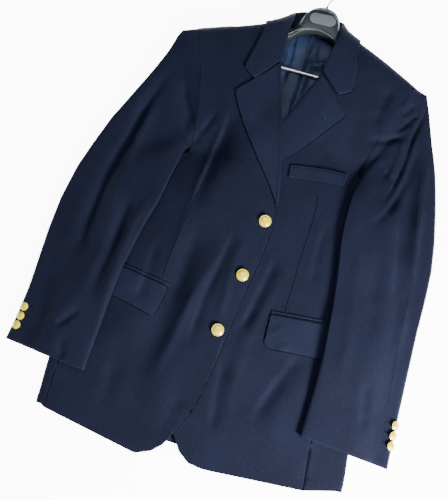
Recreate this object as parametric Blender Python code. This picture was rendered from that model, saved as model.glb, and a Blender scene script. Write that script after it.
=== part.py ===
# A single-breasted blazer laid on its back on a flat surface, with the suit hanger
# still in its shoulders. Every cloth piece is a thin wall, cut as a tailor cuts it.
# Millimetres here, metres in the meshes. x to the wearer's left, y to the neck, z up.
import math

import bpy
import numpy as np
from mathutils import Vector
from mathutils.bvhtree import BVHTree

# Driving sizes.
CLOTH = 1.7            # wall of a body, sleeve or lapel piece: wool with its lining
THIN = 1.4             # wall of a flap, welt or jet
LINING = 0.9           # wall of the lining piece in the neck
SEAM = 0.3             # gap left between two pieces at a seam
LAYER = 1.0            # gap between two cloth layers that lie on each other
SIDE_ROUND = 10.0      # how far in from the side fold the cloth is rounded
SHOULDER_ROUND = 22.0  # the same at the shoulder line
NECK_Y = 786.0         # shoulder line where it meets the collar
NECK_X = 62.0
TIP_Y = 724.0          # shoulder line at the sleeve's outer edge
TIP_X = 226.0
COLLAR_LIFT = 4.4      # the back neck lies this high, on the fall of the collar
BUTTON_R = 10.8
CUFF_BUTTON_R = 7.4
STEP = CLOTH + LAYER

# Height of the laid body over the surface along its middle and along its side.
MIDDLE = {"y": (-40, 100, 200, 300, 400, 500, 600, 700, 790),
          "h": (10, 14, 19, 23, 27, 30, 33, 37, 36)}
# The side's heights go by the distance above the underarm.
SIDE = {"y": (-540, -300, -110, -25, 0, 60, 120, 200, 290),
        "h": (9, 11, 12, 9.5, 8.5, 19, 27, 33, 36)}

# Rows of the body from hem to underarm: front edge, front seam, side fold, back seam.
# ix, iy, fx, fy, ex, ey, bx, by
ROWS_R = (
    (-86, -33, -255, -6, -271, -2, -215, 0),
    (-60, -22, -255, 3, -272, 7, -215, 8),
    (-44, -6, -256, 14, -272, 17, -215, 18),
    (-33, 16, -257, 30, -273, 32, -215, 32),
    (-14, 58, -258, 62, -275, 62, -214, 62),
    (-6, 95, -256, 97, -276, 97, -212, 97),
    (0, 140, -248, 140, -272, 140, -210, 140),
    (5, 183, -240, 183, -266, 183, -208, 183),
    (10, 225, -232, 225, -260, 225, -206, 225),
    (14, 262, -224, 262, -256, 262, -204, 262),
    (19, 300, -217, 300, -252, 300, -202, 300),
    (25, 340, -208, 340, -249, 340, -200, 340),
    (29, 380, -198, 380, -246, 380, -196, 380),
    (30, 408, -187, 415, -237, 415, -190, 413),
    (24, 434, -176, 445, -218, 446, -180, 443),
    (17, 470, -163, 476, -190, 478, -164, 475),
    (10, 495, -153, 496, -169, 496, -152, 496),
)
ROWS_L = (
    (30, -26, 196, -11, 260, 4, 210, 2),
    (4, -23, 196, -3, 260, 10, 210, 9),
    (-16, -9, 195, 8, 260, 18, 210, 17),
    (-33, 16, 193, 24, 259, 32, 209, 30),
    (-52, 58, 190, 60, 256, 60, 208, 60),
    (-60, 95, 189, 97, 254, 97, 206, 97),
    (-66, 140, 190, 140, 252, 140, 204, 140),
    (-71, 183, 192, 183, 250, 183, 203, 183),
    (-76, 225, 194, 225, 249, 225, 202, 225),
    (-80, 262, 195, 262, 248, 262, 201, 262),
    (-84, 300, 195, 300, 247, 300, 200, 300),
    (-88, 340, 193, 340, 245, 340, 198, 340),
    (-91, 380, 189, 380, 242, 380, 196, 380),
    (-91, 410, 183, 420, 237, 422, 191, 420),
    (-84, 436, 175, 458, 222, 462, 183, 458),
    (-65, 474, 164, 500, 196, 505, 168, 500),
    (-48, 506, 150, 538, 164, 538, 149, 538),
)
# Rows from underarm to shoulder: front edge and armhole line.
# ix, iy, ax, ay
TOP_R = (
    (7, 515, -156, 507),
    (-1.5, 545, -157, 537),
    (-11.5, 582, -162, 577),
    (-21.5, 618, -170, 615),
    (-33, 656, -180, 650),
    (-45, 697, -190, 677),
    (-50, 722, -197, 697),
)
TOP_L = (
    (-36, 530, 151, 549),
    (-21, 558, 158, 574),
    (0, 596, 166, 603),
    (10, 622, 173, 632),
    (24, 656, 181, 658),
    (41, 697, 190, 680),
    (48, 722, 198, 699),
)
# Folds of the laid cloth: a soft trough or ridge along a line on the fronts.
# x0, y0, x1, y1, width, depth
FOLDS = (
    (-69, 384, -100, 205, 17, -5.0),
    (-100, 215, -132, 92, 20, -3.5),
    (-44, 345, -88, 160, 15, 4.0),
    (-22, 362, -48, 236, 9, -2.6),
    (-160, 500, -118, 575, 12, -3.6),
    (-116, 578, -122, 452, 13, -3.6),
    (-150, 190, -185, 60, 22, 2.4),
    (-60, 130, -92, 20, 18, 2.2),
    (44, 356, 26, 232, 12, -3.4),
    (78, 390, 66, 255, 18, 2.6),
    (122, 178, 72, 82, 16, -3.0),
    (160, 160, 120, 30, 20, 2.4),
    (168, 712, 152, 655, 12, -2.6),
    (156, 555, 112, 590, 12, -2.6),
    (88, 470, 92, 330, 15, -2.2),
    (150, 120, 172, 10, 15, -2.0),
)
# Sleeves, from armhole to cuff: inner fold, outer fold, loft at each.
# nx, ny, ox, oy, tn, to
SLEEVE_R = (
    (-160, 499, -236, 722, 8, 31),
    (-163, 488, -243, 706, 11, 28.5),
    (-165, 470, -249, 678, 12, 27),
    (-169, 441, -266, 630, 14, 25),
    (-175, 386, -291, 566, 16, 24),
    (-185, 344, -311, 517, 17, 23),
    (-192, 303, -326, 466, 17, 22),
    (-198, 262, -340, 413, 16, 21),
    (-201, 222, -349, 350, 15, 20),
    (-203, 180, -351, 290, 15, 19),
    (-204, 148, -350, 235, 14, 18),
    (-206, 118, -349, 180, 13, 16),
    (-207, 90, -352, 126, 12, 14),
    (-207, 70, -357, 84, 11, 12),
)
SLEEVE_L = (
    (155.5, 541, 234, 723, 8, 31),
    (154, 529, 240, 708, 11, 28.5),
    (150, 512, 248, 688, 12, 27),
    (146, 480, 262, 646, 14, 25),
    (145, 429, 284, 580, 16, 24),
    (149, 389, 300, 515, 17, 23),
    (156, 348, 311, 458, 17, 22),
    (162, 300, 318, 404, 16, 21),
    (165, 255, 319, 352, 15, 20),
    (168, 215, 318, 296, 15, 19),
    (170, 175, 319, 236, 14, 18),
    (170, 135, 320, 176, 13, 16),
    (169, 98, 321, 112, 12, 14),
    (168, 71, 323, 61, 11, 12),
)
# Troughs and ridges on the sleeves' upper faces, as on the fronts.
SLEEVE_FOLDS_R = (
    (-254, 610, -287, 322, 15, -4.2),
    (-236, 645, -206, 440, 14, -3.6),
    (-206, 440, -196, 350, 14, -2.6),
    (-199, 602, -166, 548, 11, -3.4),
    (-240, 480, -262, 340, 15, 2.6),
    (-300, 430, -318, 250, 14, -2.4),
    (-250, 250, -268, 130, 18, 2.2),
    (-225, 220, -232, 110, 12, -1.8),
)
SLEEVE_FOLDS_L = (
    (228, 632, 204, 460, 13, -4.0),
    (234, 690, 263, 424, 13, -3.6),
    (263, 424, 287, 280, 14, -2.8),
    (198, 645, 212, 682, 9, -3.2),
    (172, 622, 204, 632, 9, -2.6),
    (225, 450, 236, 300, 16, 2.6),
    (200, 330, 204, 180, 15, -2.2),
    (258, 230, 262, 100, 17, 2.2),
)
# Lapels from the roll's lower end to the gorge: roll and outer edge.
# rx, ry, ox, oy
LAPEL_R = (
    (29, 433, 24, 437),
    (27, 446, 16, 450),
    (23, 470, 0, 473),
    (16, 497, -22, 500),
    (7, 532, -47, 532),
    (-2, 566, -72, 566),
    (-12, 603, -93, 600),
    (-25, 648, -103, 619),
    (-40, 697, -104, 626),
)
LAPEL_L = (
    (-89, 433, -84, 437),
    (-84, 446, -73, 450),
    (-72, 470, -48, 474),
    (-57, 500, -18, 502),
    (-40, 533, 16, 524),
    (-23, 563, 44, 557),
    (-5, 597, 67, 589),
    (14, 645, 92, 624),
    (36, 697, 98, 634),
)
# Collar from gorge to centre back: outer edge of the fall, its middle, the roll, the
# seam of the stand; h is the height of the roll, 0 where it lies on the front.
# ex, ey, mx, my, rx, ry, sx, sy, h
COLLAR_R = (
    (-103, 673, -78, 656, -40, 700, -44, 700, 0),
    (-97, 703, -74, 698, -40, 712, -46, 711, 0),
    (-92, 730, -72, 729, -41, 734, -50, 733, 0),
    (-88, 752, -70, 753, -43, 756, -54, 754, 0),
)
COLLAR_L = (
    (100, 680, 76, 666, 37, 700, 41, 700, 0),
    (97, 708, 73, 702, 38, 712, 44, 711, 0),
    (93, 733, 71, 731, 41, 734, 50, 733, 0),
    (89, 753, 70, 754, 45, 756, 54, 754, 0),
)
# Suit hanger along x: upper and lower edge, lower and upper face.
# x, y_low, y_high, z_low, z_high
HANGER_X = 8.0         # the hanger hangs this far to the wearer's left
HANGER = (
    (-190, 694, 707, 4, 12),
    (-184, 691, 713, 2.1, 16),
    (-150, 706, 730, 3.2, 20),
    (-100, 729, 752, 7, 25),
    (-66, 745, 769, 8, 27),
    (-42, 763, 780, 10, 27),
    (-36, 769, 798, 10, 34),
    (-30, 773, 812, 10, 38),
    (-19, 778, 826, 10, 39),
    (0, 783, 831, 10, 39),
    (19, 778, 829, 10, 39),
    (31, 773, 820, 10, 38),
    (38, 769, 803, 10, 34),
    (43, 763, 782, 10, 27),
    (66, 745, 769, 8, 27),
    (100, 729, 752, 7, 25),
    (150, 706, 730, 2.0, 20),
    (184, 691, 713, 2.1, 16),
    (190, 694, 707, 4, 12),
)

# name, red, green, blue, metallic, roughness
MATERIALS = {
    "navy_wool": (0.016, 0.023, 0.046, 0.0, 0.85),
    "satin_lining": (0.022, 0.042, 0.1, 0.0, 0.35),
    "gilt_brass": (0.83, 0.58, 0.2, 1.0, 0.25),
    "black_plastic": (0.02, 0.023, 0.026, 0.0, 0.3),
    "grey_plastic": (0.16, 0.17, 0.175, 0.0, 0.4),
    "bright_steel": (0.66, 0.67, 0.68, 1.0, 0.2),
}


def material(name):
    known = bpy.data.materials.get(name)
    if known:
        return known
    r, g, b, metal, rough = MATERIALS[name]
    made = bpy.data.materials.new(name)
    made.use_nodes = True
    shader = made.node_tree.nodes["Principled BSDF"]
    shader.inputs["Base Color"].default_value = (r, g, b, 1)
    shader.inputs["Metallic"].default_value = metal
    shader.inputs["Roughness"].default_value = rough
    return made


def smooth(v):
    v = np.clip(v, 0, 1)
    return v * v * (3 - 2 * v)


def add_mesh(name, points, faces, mat):
    mesh = bpy.data.meshes.new(name)
    verts = [tuple(float(c) / 1000 for c in p) for p in points]
    mesh.from_pydata(verts, [], [tuple(int(i) for i in f) for f in faces])
    mesh.update()
    piece = bpy.data.objects.new(name, mesh)
    bpy.context.scene.collection.objects.link(piece)
    mesh.materials.append(material(mat))
    volume = 0.0
    for face in mesh.polygons:
        volume += face.normal.dot(face.center) * face.area
    if volume < 0:
        mesh.flip_normals()
    return piece


def wall(name, outer, normals, thick, mat, loop=False):
    """A closed cloth wall: outer face, the same face moved in, and the rims."""
    rows, cols = outer.shape[:2]
    inner = outer - normals * thick
    count = rows * cols
    points = np.concatenate([outer.reshape(-1, 3), inner.reshape(-1, 3)])
    faces = []
    for i in range(rows - 1):
        for j in range(cols - 1):
            a = i * cols + j
            b, c, d = a + 1, a + cols + 1, a + cols
            # Both faces are cut along the same, shorter diagonal.
            ac = np.linalg.norm(points[a] - points[c])
            bd = np.linalg.norm(points[b] - points[d])
            cuts = ((a, b, c), (a, c, d)) if ac < bd else ((a, b, d), (b, c, d))
            for cut in cuts:
                faces.append(cut)
                faces.append(tuple(count + v for v in reversed(cut)))
    for i in range(rows - 1):
        for j in (0, cols - 1):
            a, d = i * cols + j, (i + 1) * cols + j
            rim = (a, d, count + d, count + a)
            faces.append(rim if j == 0 else rim[::-1])
    for j in range(cols - 1):
        for i in (0, rows - 1):
            a, b = i * cols + j, i * cols + j + 1
            rim = (b, a, count + a, count + b)
            faces.append(rim if i == 0 else rim[::-1])
    return add_mesh(name, points, faces, mat)


def grid_normals(grid, up):
    """Normals of a grid of points, turned to the side that up gives."""
    du = np.gradient(grid, axis=1)
    dv = np.gradient(grid, axis=0)
    n = np.cross(du, dv)
    n /= np.maximum(np.linalg.norm(n, axis=2, keepdims=True), 1e-9)
    middle = n[n.shape[0] // 2, n.shape[1] // 2]
    return n if float(np.dot(middle, up)) > 0 else -n


def finer(table, times=2):
    """Rows of a table with smooth rows put between them."""
    t = np.array(table, float)
    ghost_a, ghost_b = 2 * t[0] - t[1], 2 * t[-1] - t[-2]
    g = np.vstack([ghost_a, t, ghost_b])
    out = []
    for i in range(1, len(g) - 2):
        for k in range(times):
            u = k / times
            a, b, c, d = g[i - 1], g[i], g[i + 1], g[i + 2]
            out.append(0.5 * (2 * b + (c - a) * u + (2 * a - 5 * b + 4 * c - d) * u * u
                              + (3 * b - a - 3 * c + d) * u ** 3))
    out.append(t[-1])
    return np.array(out)


class Half:
    """Outline and heights of one side of the laid body; sign is -1 or 1."""

    def __init__(self, sign, rows, top):
        self.sign = sign
        self.rows = np.array(rows, float)
        self.top = np.array(top, float)
        self.underarm = self.rows[-1, 5]
        ref_y = np.concatenate([self.rows[:, 5], self.top[:, 3], [730]])
        ref_x = np.concatenate([self.rows[:, 4], self.top[:, 2], [sign * 208]])
        self.ref = (ref_y, np.abs(ref_x))

    def edge_gap(self, x, y):
        """How far a point is inside the side fold."""
        return np.interp(y, *self.ref) - self.sign * x

    def height(self, x, y):
        """Thickness of the laid body over the surface."""
        middle = np.interp(y, MIDDLE["y"], MIDDLE["h"])
        side = np.interp(y - self.underarm, SIDE["y"], SIDE["h"])
        h = side + (middle - side) * smooth(self.edge_gap(x, y) / 120)
        return h

    def fold_height(self, x, y):
        total = np.zeros(np.broadcast(x, y).shape)
        for x0, y0, x1, y1, width, depth in FOLDS:
            total = total + ridge(x, y, x0, y0, x1, y1, width, depth)
        keep = smooth((self.edge_gap(x, y) - 8) / 40)
        keep = keep * smooth((self.shoulder_gap(x, y) - 8) / 40)
        return total * keep

    def shoulder_gap(self, x, y):
        slope = (NECK_Y - TIP_Y) / (TIP_X - NECK_X)
        line = NECK_Y - slope * (self.sign * x - NECK_X)
        return (line - y) * math.cos(math.atan(slope))

    def roundness(self, x, y):
        q = (self.edge_gap(x, y) + 0.8 * np.maximum(y - self.underarm, 0)) / SIDE_ROUND
        q2 = self.shoulder_gap(x, y) / SHOULDER_ROUND
        q = np.clip(np.minimum(q, q2), 0, 1)
        return np.sqrt(np.maximum(1 - (1 - q) ** 2, 0))

    def face_top(self, x, y):
        e = self.roundness(x, y)
        return self.height(x, y) * (0.5 + 0.5 * e) + self.fold_height(x, y)

    def face_bottom(self, x, y):
        e = self.roundness(x, y)
        low = self.height(x, y) * (0.5 - 0.5 * e)
        lift = smooth((y - 722) / 26) * smooth((136 - np.abs(x)) / 30)
        return low + COLLAR_LIFT * lift * e


def ridge(x, y, x0, y0, x1, y1, width, depth):
    """A soft trough or ridge that fades out at both ends of its line."""
    dx, dy = x1 - x0, y1 - y0
    long = math.hypot(dx, dy)
    along = ((x - x0) * dx + (y - y0) * dy) / long
    off = ((x - x0) * dy - (y - y0) * dx) / long
    bend = 0.06 * long * np.sin(np.pi * np.clip(along / long, 0, 1))
    fade = smooth(along / (0.35 * long)) * smooth((long - along) / (0.4 * long))
    return depth * fade * np.exp(-((off - bend) / width) ** 2)


def normals_of(field, x, y, up):
    """Normals of a height field, by small differences."""
    h = 0.05
    gx = (field(x + h, y) - field(x - h, y)) / (2 * h)
    gy = (field(x, y + h) - field(x, y - h)) / (2 * h)
    n = np.stack([-gx, -gy, np.ones_like(gx)], axis=-1)
    n /= np.linalg.norm(n, axis=-1, keepdims=True)
    return n if up > 0 else -n


RIGHT = Half(-1, ROWS_R, TOP_R)
LEFT = Half(1, ROWS_L, TOP_L)


def overlap_lift(x, y):
    """How much higher the right front lies where the left front is under it."""
    inner = np.concatenate([LEFT.rows[:, 1], LEFT.top[:, 1]])
    edge = np.interp(y, inner, np.concatenate([LEFT.rows[:, 0], LEFT.top[:, 0]]))
    side = smooth((x - edge + 50) / 42)
    return (STEP + 0.7) * side * (1 + smooth((y - 385) / 45)) * smooth((645 - y) / 62)


def right_top(x, y):
    return RIGHT.face_top(x, y) + overlap_lift(x, y)


def left_top(x, y):
    return LEFT.face_top(x, y)


def tree_of(names):
    """A search tree of finished pieces, in millimetres."""
    points, faces = [], []
    for name in names:
        mesh = bpy.data.objects[name].data
        base = len(points)
        points += [v.co * 1000 for v in mesh.vertices]
        faces += [tuple(base + i for i in f.vertices) for f in mesh.polygons]
    return BVHTree.FromPolygons(points, faces)


def resting(tree, field, reach, start=200.0, least=6.0):
    """Heights on a finished panel: its highest point within a small reach."""
    def height(x, y):
        flat_x, flat_y = np.ravel(np.asarray(x, float)), np.ravel(np.asarray(y, float))
        out = np.zeros(len(flat_x))
        for i, (px, py) in enumerate(zip(flat_x, flat_y)):
            best = -1e9
            for ox, oy in ((0, 0), (reach, 0), (-reach, 0), (0, reach), (0, -reach)):
                eye = Vector((px + ox, py + oy, start))
                hit = tree.ray_cast(eye, Vector((0, 0, -1)))
                if hit[0] is not None and hit[0].z > least:
                    best = max(best, hit[0].z)
            out[i] = best if best > 0 else float(field(px, py))
        return out.reshape(np.shape(x))
    return height


def cleared(points, ways, tree, want):
    """Points moved along their own directions until they stand clear of a panel."""
    out = np.array(points, float)
    for index in np.ndindex(out.shape[:2]):
        n = ways[index] / np.linalg.norm(ways[index])
        for _ in range(4):
            near, _n, _i, far = tree.find_nearest(Vector(out[index]))
            if near is None or far > 6:
                break
            inside = float(np.dot(out[index] - np.array(near), n)) < 0
            if not inside and far >= want - 0.02:
                break
            out[index] = out[index] + n * (want + far if inside else want - far)
    return out


def shoulder_rows(half):
    """The last rows of a front or back, closing up to the shoulder line."""
    s = half.sign
    slope = math.atan((NECK_Y - TIP_Y) / (TIP_X - NECK_X))
    out = []
    for gap in (SHOULDER_ROUND, 9.0, 3.0, SEAM / 2):
        nx = NECK_X - 0.30 * gap
        ax = 208 - 0.42 * gap
        dy = gap / math.cos(slope)
        ny = NECK_Y - math.tan(slope) * (nx - NECK_X) - dy
        ay = NECK_Y - math.tan(slope) * (ax - NECK_X) - dy
        out.append((s * nx, ny, s * ax, ay))
    return np.array(out)


def spread(first, last, columns):
    """Columns of points along straight rows between two ends."""
    u = columns[None, :, None]
    return first[:, None, :] * (1 - u) + last[:, None, :] * u


def pull(first, last, start, end):
    """Row ends moved in along the row by a seam's half gap."""
    d = last - first
    d /= np.linalg.norm(d, axis=1, keepdims=True)
    return first + d * start, last - d * end


def panel(name, half, field, first, last, columns, up, over=()):
    """A body piece whose outer face lies on a height field, clear of those under it."""
    plan = spread(first, last, columns)
    x, y = plan[..., 0], plan[..., 1]
    outer = np.dstack([x, y, field(x, y)])
    normals = normals_of(field, x, y, up)
    slope = math.atan((NECK_Y - TIP_Y) / (TIP_X - NECK_X))
    normals[-1] = (half.sign * math.sin(slope), math.cos(slope), 0)
    if over:
        inner = outer - normals * CLOTH
        up_way = np.zeros_like(inner) + (0, 0, 1.0)
        free = cleared(inner[:-4], up_way[:-4], tree_of(over), LAYER)
        outer[:-4] = free + normals[:-4] * CLOTH
    return wall(name, outer, normals, CLOTH, "navy_wool")


def front(name, half, field, over=()):
    body = half.rows[:, [0, 1, 2, 3]]
    rest = half.top
    table = np.vstack([body, rest, shoulder_rows(half)])
    inner, outer = table[:, :2], table[:, 2:]
    inner, outer = pull(inner, outer, 0.0, SEAM / 2)
    columns = np.array([0, 0.05, 0.12, 0.19, 0.27, 0.35, 0.43, 0.51, 0.59, 0.67, 0.75,
                        0.83, 0.92, 1])
    return panel(name, half, field, inner, outer, columns, 1, over)


def back(name, half):
    body = half.rows[:, [6, 7]]
    rest = half.top[:, 2:]
    shoulders = shoulder_rows(half)
    outer = np.vstack([body, rest, shoulders[:, 2:]])
    mid_y = outer[:, 1].copy()
    top = len(outer) - 4
    mid_y[top - 3:] = np.linspace(mid_y[top - 4] + 30, NECK_Y - 1.0, 7)
    mid_y[top:] = np.linspace(mid_y[top], NECK_Y - 1.0, 4)
    centre = np.stack([np.zeros(len(outer)), mid_y], axis=1)
    centre, outer = pull(centre, outer, SEAM / 2, SEAM / 2)
    columns = np.array([0, 0.15, 0.3, 0.45, 0.6, 0.75, 0.9, 1.0])
    plan = spread(centre, outer, columns)
    # The neck edge of the back is level, and the shoulder runs down from its end.
    for k, gap in enumerate((SHOULDER_ROUND, 9.0, 3.0, SEAM / 2)):
        row = top + k
        nx, ny, ax, ay = shoulders[k]
        flat = np.array([0, 0.25, 0.5, 0.75]) * nx
        xs = np.concatenate([flat, np.linspace(nx, ax, 4)])
        ys = np.concatenate([np.full(4, ny), np.linspace(ny, ay, 4)])
        xs[0] = half.sign * SEAM / 2
        plan[row] = np.stack([xs, ys], axis=1)
    x, y = plan[..., 0], plan[..., 1]

    def field(px, py):
        return half.face_bottom(px, py)

    z = field(x, y)
    neck = np.abs(x) < NECK_X - 0.1
    z = np.where(neck & (y > 740), COLLAR_LIFT * smooth((y - 722) / 26), z)
    outer_face = np.dstack([x, y, z])
    normals = normals_of(field, x, y, -1)
    normals[neck & (y > 740)] = (0, 0, -1)
    slope = math.atan((NECK_Y - TIP_Y) / (TIP_X - NECK_X))
    edge = (half.sign * math.sin(slope), math.cos(slope), 0)
    normals[-1, 4:] = edge
    return wall(name, outer_face, normals, CLOTH, "navy_wool")


def side_panel(name, half):
    """The underarm panel: down from the front seam, round the fold, to the back."""
    s = half.sign
    rows = []
    q_list = (1.0, 0.4, 0.12, 0.0)
    for ix, iy, fx, fy, ex, ey, bx, by in half.rows:
        f = np.array([fx + s * SEAM / 2, fy])
        e = np.array([ex, ey])
        b = np.array([bx + s * SEAM / 2, by])
        row = []
        round_f = min(SIDE_ROUND, 0.8 * abs(ex - f[0]))
        for u in (0.0, 0.5):
            row.append((f[0] + (ex - s * round_f - f[0]) * u,
                        f[1] + (e[1] - f[1]) * u, 1))
        for q in q_list:
            row.append((ex - s * round_f * q, e[1], 1 if q > 0 else 0))
        for q in q_list[-2::-1]:
            row.append((ex - s * round_f * q, e[1], -1))
        for u in (0.5, 0.0):
            row.append((b[0] + (ex - s * SIDE_ROUND - b[0]) * u,
                        b[1] + (e[1] - b[1]) * u, -1))
        rows.append(row)
    g = np.array(rows, float)
    x, y, level = g[..., 0], g[..., 1], g[..., 2]
    top = half.face_top(x, y)
    low = half.face_bottom(x, y)
    mid = half.height(x, y) / 2
    z = np.where(level > 0, top, np.where(level < 0, low, mid))
    outer = np.dstack([x, y, z])
    n_top = normals_of(half.face_top, x, y, 1)
    n_low = normals_of(half.face_bottom, x, y, -1)
    n_mid = np.zeros_like(n_top)
    n_mid[..., 0] = s
    pick = level[..., None]
    normals = np.where(pick > 0, n_top, np.where(pick < 0, n_low, n_mid))
    return wall(name, outer, normals, CLOTH, "navy_wool")


ARC = (0, 50, 90, 130, 180)


def turned(path_x, path_y, level, roll_dir, radius):
    """Points of a fold's half circle from the upper layer to the lower one."""
    out = []
    for deg in ARC:
        a = math.radians(deg)
        out.append((path_x + roll_dir[0] * radius * (math.sin(a) - 1),
                    path_y + roll_dir[1] * radius * (math.sin(a) - 1),
                    level + radius * math.cos(a),
                    roll_dir[0] * math.sin(a), roll_dir[1] * math.sin(a), math.cos(a)))
    return out


def lapel(name, half, table, field):
    """A lapel: outer edge to roll, round the roll, and back to the front's edge."""
    t = finer(table, 2)
    radius = CLOTH + LAYER / 2
    edge = np.vstack([half.rows[:, :2], half.top[:, :2]])
    rows = []
    for rx, ry, ox, oy in t:
        r, o = np.array([rx, ry]), np.array([ox, oy])
        d = r - o
        long = max(np.linalg.norm(d), 1e-6)
        d = d / long
        row = []
        inner = r - d * radius
        for u in (0, 0.2, 0.4, 0.6, 0.8):
            p = o * (1 - u) + inner * u
            row.append((p[0], p[1], field(p[0], p[1]) + STEP, 0, 0, 1))
        base = field(inner[0], inner[1]) - CLOTH + radius
        row += turned(r[0], r[1], base, d, radius)
        stop = half.sign * (np.interp(ry, edge[:, 1], edge[:, 0]) - rx)
        tail = r + np.array([half.sign * max(stop - 0.6, radius + 0.3), 0])
        row.append((tail[0], tail[1], field(tail[0], tail[1]) - CLOTH, 0, 0, -1))
        rows.append(row)
    grid = np.array(rows, float)
    normals = grid[..., 3:].copy()
    normals[:, :4] = strip_normals(grid[..., :3], 2)[:, :4]
    return wall(name, grid[..., :3], normals, CLOTH, "navy_wool")


def strip_normals(grid, col):
    """Normals of a bent strip, up (or out) in its middle row at one column."""
    m = np.cross(np.gradient(grid, axis=1), np.gradient(grid, axis=0))
    m /= np.maximum(np.linalg.norm(m, axis=2, keepdims=True), 1e-9)
    return -m if m[1, col, 2] < 0 else m


for old in list(bpy.data.objects):
    bpy.data.objects.remove(old, do_unlink=True)

back("back_right", RIGHT)
back("back_left", LEFT)
side_panel("side_right", RIGHT)
side_panel("side_left", LEFT)
front("front_left", LEFT, left_top)
on_left = resting(tree_of(["front_left", "side_left"]), left_top, 5.0)
lapel("lapel_left", LEFT, LAPEL_L, on_left)
front("front_right", RIGHT, right_top, ("front_left", "lapel_left"))
on_right = resting(tree_of(["front_right", "side_right"]), right_top, 5.0)
lapel("lapel_right", RIGHT, LAPEL_R, on_right)


def laid_over(half, x, y):
    """Height on which a sleeve lies: over the body inside its fold, else the floor."""
    gap = half.edge_gap(x, y)
    y_in = smooth((half.underarm + 40 - y) / 34)
    over = half.height(x, y) + half.fold_height(x, y) + LAYER + 0.8
    over = over + flap_bump(half, x, y)
    return over * smooth((gap + 44) / 36) * y_in


def flap_bump(half, x, y):
    """What a pocket flap adds under the sleeve."""
    s = half.sign
    line = 262 - 0.15 * (np.abs(x) - 120) if s < 0 else 262 + 0.10 * (x - 160)
    inside = smooth((line + 44 - y) / 30) * smooth((y - line + 110) / 30)
    return (THIN + LAYER + 0.8) * inside


def sleeve(half, table, folds, top_name, under_name):
    """Two pieces round one flattened tube: top sleeve and under sleeve."""
    s = half.sign
    t = np.vstack([finer(table[:6], 2), np.array(table[6:], float)])
    count = len(t)
    half_turn = 12
    phi = np.linspace(0, 2 * math.pi, 2 * half_turn - 1)[:-1]
    w = 0.5 - 0.5 * np.cos(phi)
    upper = phi <= math.pi + 1e-6
    shape = np.abs(np.sin(phi)) ** 0.4
    nx, ny, ox, oy, tn, to = t.T
    x = nx[:, None] * (1 - w) + ox[:, None] * w
    y = ny[:, None] * (1 - w) + oy[:, None] * w
    # The cap of the sleeve bows out over its first rows.
    loft = tn[:, None] * (1 - w) + to[:, None] * w
    base = laid_over(half, x, y)
    z_up = base + loft * (0.5 + 0.5 * shape)
    z_low = base + loft * (0.5 - 0.5 * shape)
    bump = np.zeros_like(x)
    for f in folds:
        bump = bump + ridge(x, y, *f)
    z_up = z_up + bump * shape ** 2
    z = np.where(upper, z_up, z_low)
    grid = np.dstack([x, y, z])
    # First ring: on the armhole line, in line with the body's own walls.
    arm = np.vstack([half.top[:1, 2:] + (s * 0.8, -1.0), half.top[:, 2:],
                     shoulder_rows(half)[:, 2:]])
    order = np.concatenate([np.arange(half_turn), np.arange(half_turn - 2, 0, -1)])
    ax, ay = arm[order, 0], arm[order, 1]
    first_top = half.face_top(ax, ay)
    first_low = half.face_bottom(ax, ay)
    mid = half.height(ax, ay) / 2
    az = np.where(upper, first_top, first_low)
    az = np.where((w < 1e-6) | (w > 1 - 1e-6), mid, az)
    ring = np.stack([ax + s * SEAM, ay, az], axis=1)
    grid = np.concatenate([ring[None], grid])
    # Rings run round, so the last column of the loop meets the first.
    wrapped = np.concatenate([grid[:, -1:], grid, grid[:, :1]], axis=1)
    du = (wrapped[:, 2:] - wrapped[:, :-2])
    dv = np.gradient(grid, axis=0)
    n = np.cross(du, dv)
    n /= np.linalg.norm(n, axis=2, keepdims=True)
    k = half_turn // 2
    if n[count // 2, k, 2] < 0:
        n = -n
    # The walls of the first ring stand as the body's do.
    n0 = np.where(upper[:, None], normals_of(half.face_top, ax, ay, 1),
                  normals_of(half.face_bottom, ax, ay, -1))
    n0[0] = (0, -1, 0)
    n0[1] = (0, -0.5, 0.87)
    n0[-1] = (0, -0.5, -0.87)
    n0[half_turn - 1] = (0, 1, 0)
    n[0] = n0
    n[1, 0] = (0, -1, 0)
    # The wall is eased thinner where it is gathered under the arm.
    for j in (-5, -4, -3, -2, -1, 0, 1, 2, 3, 4):
        n[:3, j] *= 0.62
    hind = half_turn + 1
    fore = 3
    total = len(phi)
    top_cols = [(j % total) for j in range(-fore, hind + 1)]
    low_cols = [(j % total) for j in range(hind, total - fore + 1)]
    for name, cols in ((top_name, top_cols), (under_name, low_cols)):
        part = grid[:, cols].copy()
        norm = n[:, cols].copy()
        for end, near in ((0, 1), (-1, -2)):
            d = part[:, near] - part[:, end]
            d /= np.linalg.norm(d, axis=1, keepdims=True)
            part[:, end] += d * (SEAM / 2)
            part[:8, end] += d[:8] * SEAM * 1.6
        wall(name, part, norm, CLOTH, "navy_wool")
    return grid, n


grid_r, normal_r = sleeve(RIGHT, SLEEVE_R, SLEEVE_FOLDS_R, "sleeve_right_top",
                          "sleeve_right_under")
grid_l, normal_l = sleeve(LEFT, SLEEVE_L, SLEEVE_FOLDS_L, "sleeve_left_top",
                          "sleeve_left_under")



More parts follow.
